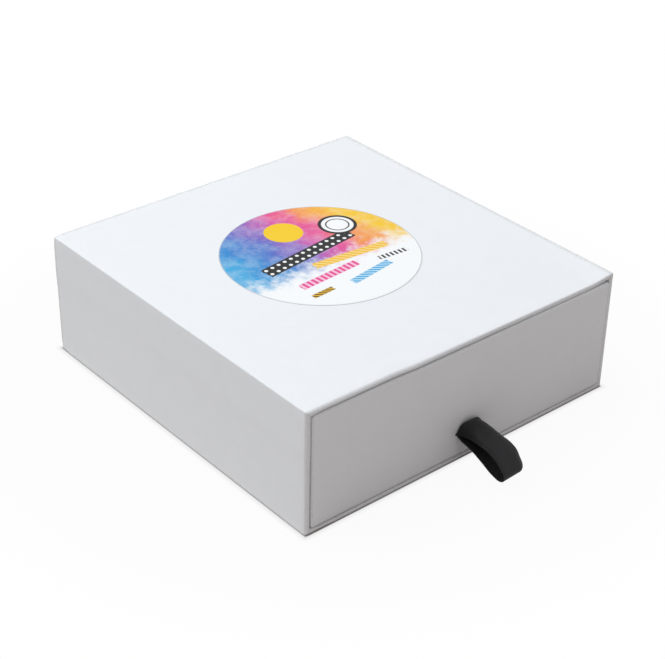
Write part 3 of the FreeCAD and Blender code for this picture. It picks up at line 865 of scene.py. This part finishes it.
drawer_folds = rounded_path([(2.0, BASE_Z), (0, BASE_Z), (0, 7.0), (0, 9.2), (0, 10.9), (0, SLIT[2]), (0, SLIT[3]),
                             (0, 14.3), (0, 16.0), (0, 18.5), (0, RIM_Z), (RIM_X, RIM_Z), (RIM_X, TURN_IN_Z)],
                            [1.5, 0, 0, 0, 0, 0, 0, 0, 0, 0.9, 0.5], 3.2)
rows, wear = [], []
for inset, up in drawer_folds:
    over_rim = up > TURN_IN_Z - 1 and inset > 0.0
    stretch = RIM_Y / RIM_X if over_rim else 1.0
    row, row_wear = [], []
    for wall, where in drawer_columns:
        at_corner = "_" in wall
        radius = CORNER_RADIUS - 0.2 * inset
        across, back, squarely = drawer_point(wall, where, inset, inset * stretch, radius)
        height = up
        if inset < 0.3 and squarely > 0:
            fade = ease((RIM_Z - up) / 1.5) * ease((up - BASE_Z) / 1.0) * squarely
            step, dimple = sheet_sinks(across, up)
            back += -step * fade if "back" in wall else (step + dimple) * fade
        if at_corner and abs(where - 0.5) < 0.01 and up > RIM_Z - 0.35 and inset > 0.1:
            height -= MITRE
        row.append((across, back, height))
        row_wear.append(0.5 * at_corner + 0.3 * (up > RIM_Z - 0.6))
    row.append(row[0])
    row_wear.append(row_wear[0])
    rows.append(row)
    wear.append(row_wear)
print("drawer grid", len(rows), "rows by", len(drawer_columns), "columns")

# %% The drawer's wrap as a mesh
slit_rows = [i for i, (inset, up) in enumerate(drawer_folds) if inset == 0 and abs(up - SLIT[2]) < 0.01]
slit_columns = [j for j, (wall, v) in enumerate(drawer_columns) if wall == "front" and SLIT[0] <= v < SLIT[1]]


def drawer_keeps(i, j):
    """False for the faces of the ribbon's slit."""
    return not (i in slit_rows and j in slit_columns)


mesh = grid_mesh("drawer_paper", rows, drawer_keeps, wear)
fill_holes(mesh, below=BASE_Z + 0.01)

work = temporary(mesh)
thicken(work, SHEET)
drawer_paper = smooth(solid_result(work, "drawer_paper", cover_paper, askew_tree), 50)
settle(drawer_paper, "drawer", "white_wrap_paper", "drawer_wrap")

# %% [markdown]
# ## Inside the drawer
# The walls are lined with thinner, slightly warmer paper, put in before the rim was turned over, so the turned-in
# wrap lies on it. At the bottom it turns in under the floor sheet, so that no board shows round the sheet. Behind the
# slit the two tails of the ribbon are glued flat on the wall, one up and one down, and a patch of the same lining
# paper covers them. The tails print through the patch as a soft raised block.

# %% Wall lining and patch
LINING = 0.12
LINING_FACE = 0.15         # the drawn face lies this far inside the model's lining
LINING_CORNER = 1.2
LINING_TOP = TURN_IN_Z + 1.5
IN_X = lining_high.x - LINING_FACE
IN_FRONT = lining_low.y + LINING_FACE
IN_BACK = lining_high.y - LINING_FACE
IN_FLOOR = lining_low.z
lining_columns = []
for (sx, sy), start in (((1, -1), 270), ((1, 1), 0), ((-1, 1), 90), ((-1, -1), 180)):
    for k in range(CORNER_STEPS + 1):
        angle = math.radians(start + 90 * k / CORNER_STEPS)
        middle_x = sx * (IN_X - LINING_CORNER)
        middle_y = IN_BACK - LINING_CORNER if sy > 0 else IN_FRONT + LINING_CORNER
        lining_columns.append((middle_x + LINING_CORNER * math.cos(angle),
                               middle_y + LINING_CORNER * math.sin(angle)))
lining_columns = fill_runs([np.array(c) for c in lining_columns + lining_columns[:1]], 6.0)
lining_heights = [IN_FLOOR, patch_low.z + 0.4, *np.linspace(IN_FLOOR, LINING_TOP, 9)[1:]]
rows = [[(x, y, z) for x, y in lining_columns[::-1]] for z in lining_heights]
FLANGE = 0.45              # the lining turns in under the floor sheet, so no board shows round it
middle_y = (IN_FRONT + IN_BACK) / 2
shrink_x, shrink_y = 1 - FLANGE / IN_X, 1 - FLANGE / (IN_BACK - middle_y)
rows.insert(0, [(x * shrink_x, middle_y + (y - middle_y) * shrink_y, IN_FLOOR + 0.07) for x, y, z in rows[0]])
behind_slit = lambda i, j: not (rows[i][j][1] < IN_FRONT + 0.1 and SLIT[0] - 3 < rows[i][j][0] < SLIT[1] + 3
                                and IN_FLOOR + 0.1 < rows[i][j][2] < SLIT[3] + 2)
work = temporary(grid_mesh("drawer_lining_paper", rows, behind_slit))
thicken(work, LINING)
drawer_lining = smooth(solid_result(work, "drawer_lining_paper", lining_paper, askew_tree), 50)
settle(drawer_lining, "drawer", "lining_paper", "drawer_wall_lining")

PATCH_RAISED = 0.35
patch_y = patch_low.y + 0.2
across_places = np.linspace(patch_low.x, patch_high.x, 48)
up_places = np.linspace(patch_low.z, patch_high.z, 56)


def tail_height(across, up):
    """How far the tails lift the patch at a point."""
    aside = max(tails_low.x - across, across - tails_high.x)
    above = max(tails_low.z - up, up - tails_high.z)
    return PATCH_RAISED * (1 - ease((max(aside, above) + 0.25) / 0.9))


rows = [[(x, patch_y + tail_height(x, z), z) for x in across_places[::-1]] for z in up_places]
work = temporary(grid_mesh("patch_over_tails", rows))
thicken(work, 0.16)
patch = smooth(solid_result(work, "patch_over_tails", lining_paper, askew_tree), 50)
settle(patch, "drawer", "lining_paper", "ribbon_patch")

# %% [markdown]
# ## The ribbon
# The pull is 13 mm grosgrain, a ribbon woven with thick weft threads, so it has fine ribs across and firm edges. One
# strip goes out through the slit, makes a flattened loop and comes back. Bezier curves draw its middle line with
# automatic handles through a few points. Across each place of that line a row of points makes the strip: crowned near
# the slit, where the slit squeezes it, then skewed and rolled, because it was glued a little askew. Its edges curl
# under. A tree adds the ribs, which follow the length along the ribbon, stored on the mesh.

# %% The ribbon's middle line
RIBBON = 0.35
CLOTH = 0.24                             # thin enough that the two layers in the slit stay apart
LAYER = 0.24                             # each of the two layers lies this far from the slit's middle
LOOP_LINE = ((0, LAYER), (1.6, 1.5), (5, 2.4), (11.4, 2.3), (18.4, 1.5), (23.5, -1.4), (26.4, -5.4), (25, -7.2),
             (20.3, -7.0), (14.6, -4.7), (8.2, -2.1), (3, -1.0), (0, -LAYER))
TAIL_Y = tails_high.y - RIBBON / 2 - forward_at(RIBBON_X)
INWARD = -(TAIL_Y - BEND_Y)              # the tails lie this far behind the bend, counted as out
LOOP_SKEW = 0.106                        # at the tip the right edge lies further back, as a share of the width
LOOP_ROLL = 0.066                        # and lower, as a slope
LOOP_YAW = 0.038                         # the loop drifts to the left as it comes out
ROOT_ROLL = -0.029                       # at the slit it leans the other way
ROOT_RISE = 0.6                          # this far out, the arch stands at its full height
CROWN_UPPER = 4.0                        # height of the upper layer's arch over the slit
CROWN_LOWER = 0.7
CROWN_LENGTH = 23.0                      # and how far out it has died away
CROWN_FULL = 6.0                         # near the slit the arch has steep sides and a flat crown
CROWN_LEAN = -0.074                      # it is fuller on one side
CURL_LEFT, CURL_RIGHT = 1.2, 1.35        # how far the edges curl under
TIP_ROUND = 1.6                          # the right corner of the tip is rounded back by this much
TIP_TURN = 30                            # rows on each side of the tip over which the curl changes layer
upper_end, lower_end = tails_high.z - SLIT_Z, tails_low.z - SLIT_Z
line = [(INWARD, upper_end), (INWARD, 1.4), (INWARD - 0.02, 0.45), (INWARD + 0.35, LAYER), (-0.9, LAYER),
        (-0.35, LAYER)]
line += list(LOOP_LINE)
line += [(-0.35, -LAYER), (-0.9, -LAYER), (INWARD + 0.35, -LAYER), (INWARD - 0.02, -0.45), (INWARD, -1.4),
         (INWARD, lower_end)]
curve = bpy.data.curves.new("ribbon_line", "CURVE")
curve.dimensions = "3D"
curve.resolution_u = 16
spline = curve.splines.new("BEZIER")
spline.bezier_points.add(len(line) - 1)
for knot, (out, up) in zip(spline.bezier_points, line):
    knot.co = (0.0, out, up)
    knot.handle_left_type = knot.handle_right_type = "AUTO"
drawn = bpy.data.objects.new("ribbon_line", curve)
bpy.context.scene.collection.objects.link(drawn)
bpy.context.view_layer.update()
line_mesh = bpy.data.meshes.new_from_object(drawn.evaluated_get(bpy.context.evaluated_depsgraph_get()))
middle = np.array([v.co[1:] for v in line_mesh.vertices])
bpy.data.objects.remove(drawn)
bpy.data.meshes.remove(line_mesh)
lengths = np.concatenate([[0], np.cumsum(np.linalg.norm(np.diff(middle, axis=0), axis=1))])
RIBBON_LENGTH = lengths[-1]
print("ribbon is", round(RIBBON_LENGTH, 1), "mm long")

# %% The ribbon's strip
RIB_PITCH = 0.9            # a real rib is about 0.6 mm; drawn coarser so that it can show
ROW_SPACING = 0.15
ACROSS = np.linspace(-1, 1, 25)
stations = np.linspace(0, RIBBON_LENGTH, int(RIBBON_LENGTH / ROW_SPACING))
out_at = np.interp(stations, lengths, middle[:, 0])
up_at = np.interp(stations, lengths, middle[:, 1])
tip = int(np.argmax(out_at))
reach = out_at.max()
rows, along = [], []
for n, (length, out, up) in enumerate(zip(stations, out_at, up_at)):
    far = ease(out / reach)
    risen = ease(out / ROOT_RISE)
    roll = ROOT_ROLL * risen * (1 - far) - LOOP_ROLL * far
    across = np.array([1.0, -LOOP_SKEW * far, roll])
    across *= RIBBON_WIDTH / 2 / np.linalg.norm(across)
    crown = (CROWN_UPPER if n < tip else CROWN_LOWER) * risen * (1 - ease(out / CROWN_LENGTH))
    across[0] *= 1 - 0.06 * (crown / (RIBBON_WIDTH / 2)) ** 2
    power = 2 + (CROWN_FULL - 2) * (1 - ease(out / 3.0))
    curl = ease(out / 2.0) * (1.0 - 0.6 * ease((n - tip + TIP_TURN) / (2 * TIP_TURN)))
    curl_left = CURL_LEFT * curl * (1 - ease((out - 2) / 13.0))
    curl_right = CURL_RIGHT * curl * (1 - 0.6 * ease((out - 2) / 30.0))
    back = TIP_ROUND * ease((out - reach + 7) / 7)
    row = []
    for s in ACROSS:
        arch = crown * (1 - abs(s - CROWN_LEAN * (1 - s * s)) ** power)
        arch -= curl_left * max(0, (-s - 0.45) / 0.55) ** 2 + curl_right * max(0, (s - 0.45) / 0.55) ** 2
        place = np.array([0.0, out - back * max(0, (s - 0.5) / 0.5) ** 2, up + arch]) + across * s
        row.append((RIBBON_X - LOOP_YAW * out + place[0], BEND_Y - place[1], SLIT_Z + place[2]))
    rows.append(row)
    along.append([length * MM] * len(ACROSS))
mesh = grid_mesh("ribbon_strip", rows)
layer = mesh.attributes.new("along", "FLOAT", "POINT")
layer.data.foreach_set("value", np.array(along, np.float32).ravel())
layer = mesh.attributes.new("across", "FLOAT", "POINT")
layer.data.foreach_set("value", np.tile(ACROSS * RIBBON_WIDTH / 2 * MM, len(rows)).astype(np.float32))
print("strip", len(rows), "rows,", len(mesh.vertices), "points")

# %% [markdown]
# ## Ribs as a tree
# The strip's own length runs through a sine, and each point moves along its normal by that much. Near the edges the
# ribs give way to the selvedge, a band of tighter weave that stands a little thicker. The amount and the pitch are
# the tree's inputs, so a finer or coarser ribbon is one number away.

# %% The tree that ribs the ribbon
rib_tree, given, result = new_tree("grosgrain_ribs", [
    ("Pitch", "NodeSocketFloat", 0.0009),
    ("Height", "NodeSocketFloat", 0.00002),
    ("Selvedge", "NodeSocketFloat", 0.00005),
    ("Material", "NodeSocketMaterial", None),
])
along_node = add(rib_tree, "GeometryNodeInputNamedAttribute", {"Name": "along"}, data_type="FLOAT")
across_node = add(rib_tree, "GeometryNodeInputNamedAttribute", {"Name": "across"}, data_type="FLOAT")
turns = maths(rib_tree, "DIVIDE", along_node.outputs["Attribute"], given.outputs["Pitch"])
angle = maths(rib_tree, "MULTIPLY", turns.outputs[0], 2 * math.pi)
wave = maths(rib_tree, "SINE", angle.outputs[0])
aside = maths(rib_tree, "ABSOLUTE", across_node.outputs["Attribute"]).outputs[0]
inside = step_node(rib_tree, aside, (RIBBON_WIDTH / 2 - 1.0) * MM, (RIBBON_WIDTH / 2 - 0.7) * MM, 1.0, 0.0)
rib = maths(rib_tree, "MULTIPLY", wave.outputs[0], given.outputs["Height"])
rib = maths(rib_tree, "MULTIPLY", rib.outputs[0], inside)
edge = maths(rib_tree, "SUBTRACT", 1.0, inside)
edge = maths(rib_tree, "MULTIPLY_ADD", edge.outputs[0], given.outputs["Selvedge"], rib.outputs[0])
normal = add(rib_tree, "GeometryNodeInputNormal").outputs[0]
lift = add(rib_tree, "ShaderNodeVectorMath", {0: normal, "Scale": edge.outputs[0]}, operation="SCALE")
ribbed = add(rib_tree, "GeometryNodeSetPosition", {"Geometry": given.outputs[0], "Offset": lift.outputs[0]})
finish_tree(rib_tree, given, result, ribbed.outputs[0])
print("tree", rib_tree.name, "with", len(rib_tree.nodes), "nodes")

# %% Ribbon material
material, tree, output = new_material("woven_grosgrain")
along_node = add(tree, "ShaderNodeAttribute", attribute_name="along")
across_node = add(tree, "ShaderNodeAttribute", attribute_name="across")
cloth_place = add(tree, "ShaderNodeCombineXYZ", {"X": across_node.outputs["Fac"], "Y": along_node.outputs["Fac"]})
threads = add(tree, "ShaderNodeMapping", {"Vector": cloth_place.outputs[0], "Scale": (1 / (0.35 * MM), 1 / (3 * MM),
                                                                                     1.0)})
thread = add(tree, "ShaderNodeTexNoise", {"Vector": threads.outputs[0], "Scale": 1.0, "Detail": 2.0})
lint = add(tree, "ShaderNodeTexNoise", {"Vector": cloth_place.outputs[0], "Scale": 1 / (5 * MM), "Detail": 3.0})
dye = add(tree, "ShaderNodeMix", {0: lint.outputs["Fac"], 6: linear("#0d0d0e"), 7: linear("#1a1a1c")},
          data_type="RGBA")
dye = add(tree, "ShaderNodeMix", {0: thread.outputs["Fac"], 6: dye.outputs[2], 7: linear("#212123")},
          data_type="RGBA")
# the dye darkens over the outer 2.4 mm of each side: partly a darker selvedge, partly painted shade where the edges
# curl under
aside = maths(tree, "ABSOLUTE", across_node.outputs["Fac"])
selvedge_and_curl_shade = add(tree, "ShaderNodeMapRange", {"Value": aside.outputs[0], "From Min": (RIBBON_WIDTH / 2 - 2.4) * MM,
                                            "From Max": (RIBBON_WIDTH / 2 - 0.5) * MM},
               interpolation_type="SMOOTHSTEP")
dye = add(tree, "ShaderNodeMix", {0: selvedge_and_curl_shade.outputs["Result"], 6: dye.outputs[2], 7: linear("#0b0b0c")},
          data_type="RGBA")
bump = add(tree, "ShaderNodeBump", {"Strength": 0.5, "Distance": 0.04 * MM, "Height": thread.outputs["Fac"]})
shader = add(tree, "ShaderNodeBsdfPrincipled", {"Base Color": dye.outputs[2], "Roughness": 0.62,
                                                "Normal": bump.outputs["Normal"], "Sheen Weight": 0.05,
                                                "Sheen Roughness": 0.5, "Specular IOR Level": 0.22})
tree.links.new(shader.outputs[0], output.inputs["Surface"])
ribbon_cloth = material

work = temporary(mesh)
modifier = work.modifiers.new("thickness", "SOLIDIFY")
modifier.thickness = CLOTH * MM
modifier.offset = 0.0
ribbon = smooth(solid_result(work, "ribbon_pull_strip", ribbon_cloth, rib_tree, Pitch=RIB_PITCH * MM), 50)
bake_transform(ribbon)
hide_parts("ribbon_loop", "ribbon_tails")
print(ribbon.name, len(ribbon.data.polygons), "faces")

# %% [markdown]
# ## The round label
# The label is a die-cut sticker of coated paper, 82 mm across, with a print of watercolour and craft tape. Its mesh
# is a disc of rings, so that it can follow the top board where that sinks. The print is all worked out by nodes, from
# the place on the label: the wash is a row of inks that run into each other, bent by noise and thinned out towards
# the front. On it lie six strips of tape, a spot and a ring. Each shape is a distance that is turned into a hard
# edge, and laid over what is below it, as a printer lays one ink over another.

# %% The label's mesh
LABEL_SHIFT = (-0.5, -0.55)
LABEL_CUT = 1.1            # the model's disc has a radius that is too large by this much
LABEL_X = (label_low.x + label_high.x) / 2 + LABEL_SHIFT[0]
LABEL_Y = (label_low.y + label_high.y) / 2 + LABEL_SHIFT[1]
LABEL_R = (label_high.x - label_low.x) / 2 - LABEL_CUT
LABEL_EDGE = 0.03
ring_sizes = list(np.linspace(0.6, LABEL_R - 1.5, 22)) + [LABEL_R - 0.5, LABEL_R - LABEL_EDGE]
rim = [(r, label_high.z) for r in ring_sizes] + [(LABEL_R, label_high.z - LABEL_EDGE), (LABEL_R, label_low.z)]
SPOKES = 144
angles = [2 * math.pi * k / SPOKES for k in range(SPOKES + 1)]
rows = [[(LABEL_X + r * math.cos(a), LABEL_Y + r * math.sin(a), z) for a in angles] for r, z in rim]
mesh = grid_mesh("round_label", rows)
fill_holes(mesh)
print("label", round(2 * LABEL_R, 1), "mm across")

# %% The inks on the label
material, tree, output = new_material("coated_label_print")
place = add(tree, "ShaderNodeTexCoord").outputs["Object"]
print_place = add(tree, "ShaderNodeMapping", {"Vector": place,
                                              "Location": (-LABEL_X / LABEL_R, -LABEL_Y / LABEL_R, 0.0),
                                              "Scale": (1 / (LABEL_R * MM), 1 / (LABEL_R * MM), 0.0)}).outputs[0]
bleed = add(tree, "ShaderNodeTexNoise", {"Vector": print_place, "Scale": 3.2, "Detail": 6.0, "Roughness": 0.62})
blots = add(tree, "ShaderNodeTexNoise", {"Vector": print_place, "Scale": 6.0, "Detail": 8.0, "Roughness": 0.7})
sides = add(tree, "ShaderNodeSeparateXYZ", {0: print_place})
run = maths(tree, "MULTIPLY_ADD", bleed.outputs["Fac"], 0.7, sides.outputs["X"])
run = maths(tree, "MULTIPLY_ADD", sides.outputs["Y"], 0.22, run.outputs[0])
across_wash = add(tree, "ShaderNodeMapRange", {"Value": run.outputs[0], "From Min": -0.5, "From Max": 1.18})
wash = add(tree, "ShaderNodeValToRGB", {"Fac": across_wash.outputs["Result"]})
INKS = ((0.0, "#3aaade"), (0.2, "#2f8ad0"), (0.36, "#5a6cc4"), (0.48, "#9566bf"), (0.6, "#d653a8"), (0.72, "#ec5590"),
        (0.83, "#f78c58"), (1.0, "#fbca28"))
for number, (position, tone) in enumerate(INKS):
    stops = wash.color_ramp.elements
    stop = stops[number and -1] if number in (0, len(INKS) - 1) else stops.new(position)
    stop.position = position
    stop.color = linear(tone)
thin = maths(tree, "MULTIPLY_ADD", blots.outputs["Fac"], 0.75, sides.outputs["Y"])
thin = add(tree, "ShaderNodeMapRange", {"Value": thin.outputs[0], "From Min": 0.02, "From Max": 0.38},
           interpolation_type="SMOOTHSTEP")
pools = add(tree, "ShaderNodeMapRange", {"Value": blots.outputs["Fac"], "From Min": 0.35, "From Max": 0.62,
                                         "To Min": 0.8, "To Max": 1.0}, interpolation_type="SMOOTHSTEP")
strength = maths(tree, "MULTIPLY", thin.outputs["Result"], pools.outputs["Result"])
LABEL_WHITE = "#fdfdfd"
ground = add(tree, "ShaderNodeMix", {0: strength.outputs[0], 6: linear(LABEL_WHITE), 7: wash.outputs["Color"]},
             data_type="RGBA").outputs[2]
print("wash of", len(INKS), "inks")

# %% Strips of tape, a spot and a ring on the label
SOFT_EDGE = 0.004          # of the label's radius, about 0.2 mm


def inked(below, mask, tone):
    """Lay one ink over what is below it."""
    return add(tree, "ShaderNodeMix", {0: mask, 6: below, 7: linear(tone)}, data_type="RGBA").outputs[2]


def inside_of(distance, limit):
    """1 where a distance is below the limit, with a narrow soft edge."""
    return add(tree, "ShaderNodeMapRange", {"Value": distance, "From Min": limit - SOFT_EDGE,
                                            "From Max": limit + SOFT_EDGE, "To Min": 1.0,
                                            "To Max": 0.0}).outputs["Result"]


def product(a, b):
    return maths(tree, "MULTIPLY", a, b).outputs[0]


def tape_strip(below, middle, turn, size, tone, mark_tone, marks, pitch):
    """A strip of patterned tape with torn ends. Places and sizes are shares of the label's radius."""
    own = add(tree, "ShaderNodeVectorMath", {0: print_place, 1: (middle[0], middle[1], 0.0)}, operation="SUBTRACT")
    own = add(tree, "ShaderNodeVectorRotate", {"Vector": own.outputs[0], "Angle": -math.radians(turn)},
              rotation_type="Z_AXIS").outputs[0]
    axis = add(tree, "ShaderNodeSeparateXYZ", {0: own})
    fibres = add(tree, "ShaderNodeTexNoise", {"Vector": own, "Scale": 28.0, "Detail": 3.0})
    end = maths(tree, "ABSOLUTE", axis.outputs["X"]).outputs[0]
    end = maths(tree, "MULTIPLY_ADD", fibres.outputs["Fac"], 0.06, end).outputs[0]
    side = maths(tree, "ABSOLUTE", axis.outputs["Y"]).outputs[0]
    body = product(inside_of(end, size[0]), inside_of(side, size[1]))
    below = inked(below, body, tone)
    if marks == "dots":
        cell = add(tree, "ShaderNodeVectorMath", {0: own, 1: (pitch, pitch, pitch)}, operation="DIVIDE")
        cell = add(tree, "ShaderNodeVectorMath", {0: cell.outputs[0]}, operation="FRACTION")
        cell = add(tree, "ShaderNodeVectorMath", {0: cell.outputs[0], 1: (0.5, 0.5, 0.0)}, operation="SUBTRACT")
        away = add(tree, "ShaderNodeVectorMath", {0: cell.outputs[0]}, operation="LENGTH").outputs["Value"]
        mark = add(tree, "ShaderNodeMapRange", {"Value": away, "From Min": 0.2, "From Max": 0.26, "To Min": 1.0,
                                                "To Max": 0.0}).outputs["Result"]
    else:
        slant = maths(tree, "MULTIPLY_ADD", axis.outputs["Y"], 1.0 if marks == "stripes" else 0.0, axis.outputs["X"])
        wave = maths(tree, "MULTIPLY", slant.outputs[0], 2 * math.pi / pitch)
        wave = maths(tree, "SINE", wave.outputs[0])
        mark = add(tree, "ShaderNodeMapRange", {"Value": wave.outputs[0], "From Min": -0.1,
                                                "From Max": 0.1}).outputs["Result"]
    return inked(below, product(body, mark), mark_tone)


def round_spot(below, middle, radius, tone):
    """A round spot of one ink."""
    away = add(tree, "ShaderNodeVectorMath", {0: print_place, 1: (middle[0], middle[1], 0.0)},
               operation="DISTANCE").outputs["Value"]
    return inked(below, inside_of(away, radius), tone)


art = ground
art = tape_strip(art, (-0.08, 0.08), 7, (0.62, 0.085), "#121214", "#fdfdfd", "dots", 0.085)
art = tape_strip(art, (0.22, -0.2), -5, (0.46, 0.055), "#f7b92a", "#fbe08a", "stripes", 0.07)
art = tape_strip(art, (-0.2, -0.38), 4, (0.4, 0.05), "#ea4a92", "#fbc4dc", "checks", 0.06)
art = tape_strip(art, (0.16, -0.58), 9, (0.3, 0.045), "#36a3dc", "#c2e6f8", "stripes", 0.06)
art = tape_strip(art, (0.56, -0.44), -5, (0.2, 0.035), "#141416", "#fdfdfd", "checks", 0.05)
art = tape_strip(art, (-0.46, -0.6), 4, (0.16, 0.032), "#141416", "#f8c22c", "stripes", 0.05)
art = round_spot(art, (-0.02, 0.56), 0.2, "#fbcf22")
for radius, tone in ((0.2, "#121214"), (0.165, "#fdfdfd"), (0.125, "#121214"), (0.11, "#fdfdfd")):
    art = round_spot(art, (0.52, 0.36), radius, tone)
from_middle = add(tree, "ShaderNodeVectorMath", {0: print_place}, operation="LENGTH").outputs["Value"]
# a thin grey ring at the cut edge: painted shade of the label's edge
painted_edge_shade = add(tree, "ShaderNodeMapRange", {"Value": from_middle, "From Min": 0.986, "From Max": 0.994}).outputs[0]
art = inked(art, painted_edge_shade, "#c9ccd0")
gloss = add(tree, "ShaderNodeMapRange", {"Value": blots.outputs["Fac"], "To Min": 0.38, "To Max": 0.46})
shader = add(tree, "ShaderNodeBsdfPrincipled", {"Base Color": art, "Roughness": gloss.outputs["Result"],
                                                "Specular IOR Level": 0.22})
tree.links.new(shader.outputs[0], output.inputs["Surface"])
label_print = material

label = smooth(solid_result(temporary(mesh), "round_label", label_print, give_tree), 40)
settle(label, "sleeve", "label_paper", "top_label")

# %% [markdown]
# ## Boards, tape and floor sheet of the drawer
# The rest of the drawer sits askew with the wrap. These are copies of the model's nodes, cut across every 10 mm,
# because a long board with no points between its ends can't follow the rim where it rises, and would poke through.

# %% The drawer's own boards and papers
for node, slot, material, clear_of_base in (
    ("drawer_floor_board", "greyboard", grey_board, 0.0),
    ("drawer_front_board", "greyboard", grey_board, 0.9),
    ("drawer_back_board", "greyboard", grey_board, 0.9),
    ("drawer_left_board", "greyboard", grey_board, 0.9),
    ("drawer_right_board", "greyboard", grey_board, 0.9),
    ("drawer_corner_tape", "gummed_tape", gummed_tape, 1.6),
    ("drawer_floor_sheet", "lining_paper", lining_paper, 0.0),
):
    work = bmesh.new()
    work.from_mesh(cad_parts[node].data)
    bmesh.ops.remove_doubles(work, verts=work.verts, dist=0.001 * MM)
    cut_by_planes(work, (np.arange(-70, 71, 10), np.arange(-75, 76, 10)))
    for vertex in work.verts:
        vertex.co.z = min(max(vertex.co.z, (BASE_Z + clear_of_base) * MM), (RIM_Z - 0.9 * clear_of_base) * MM)
    mesh = bpy.data.meshes.new(node + "_copy")
    work.to_mesh(mesh)
    work.free()
    piece = solid_result(temporary(mesh), node + "_settled", material, askew_tree)
    settle(piece, "drawer", slot, node)
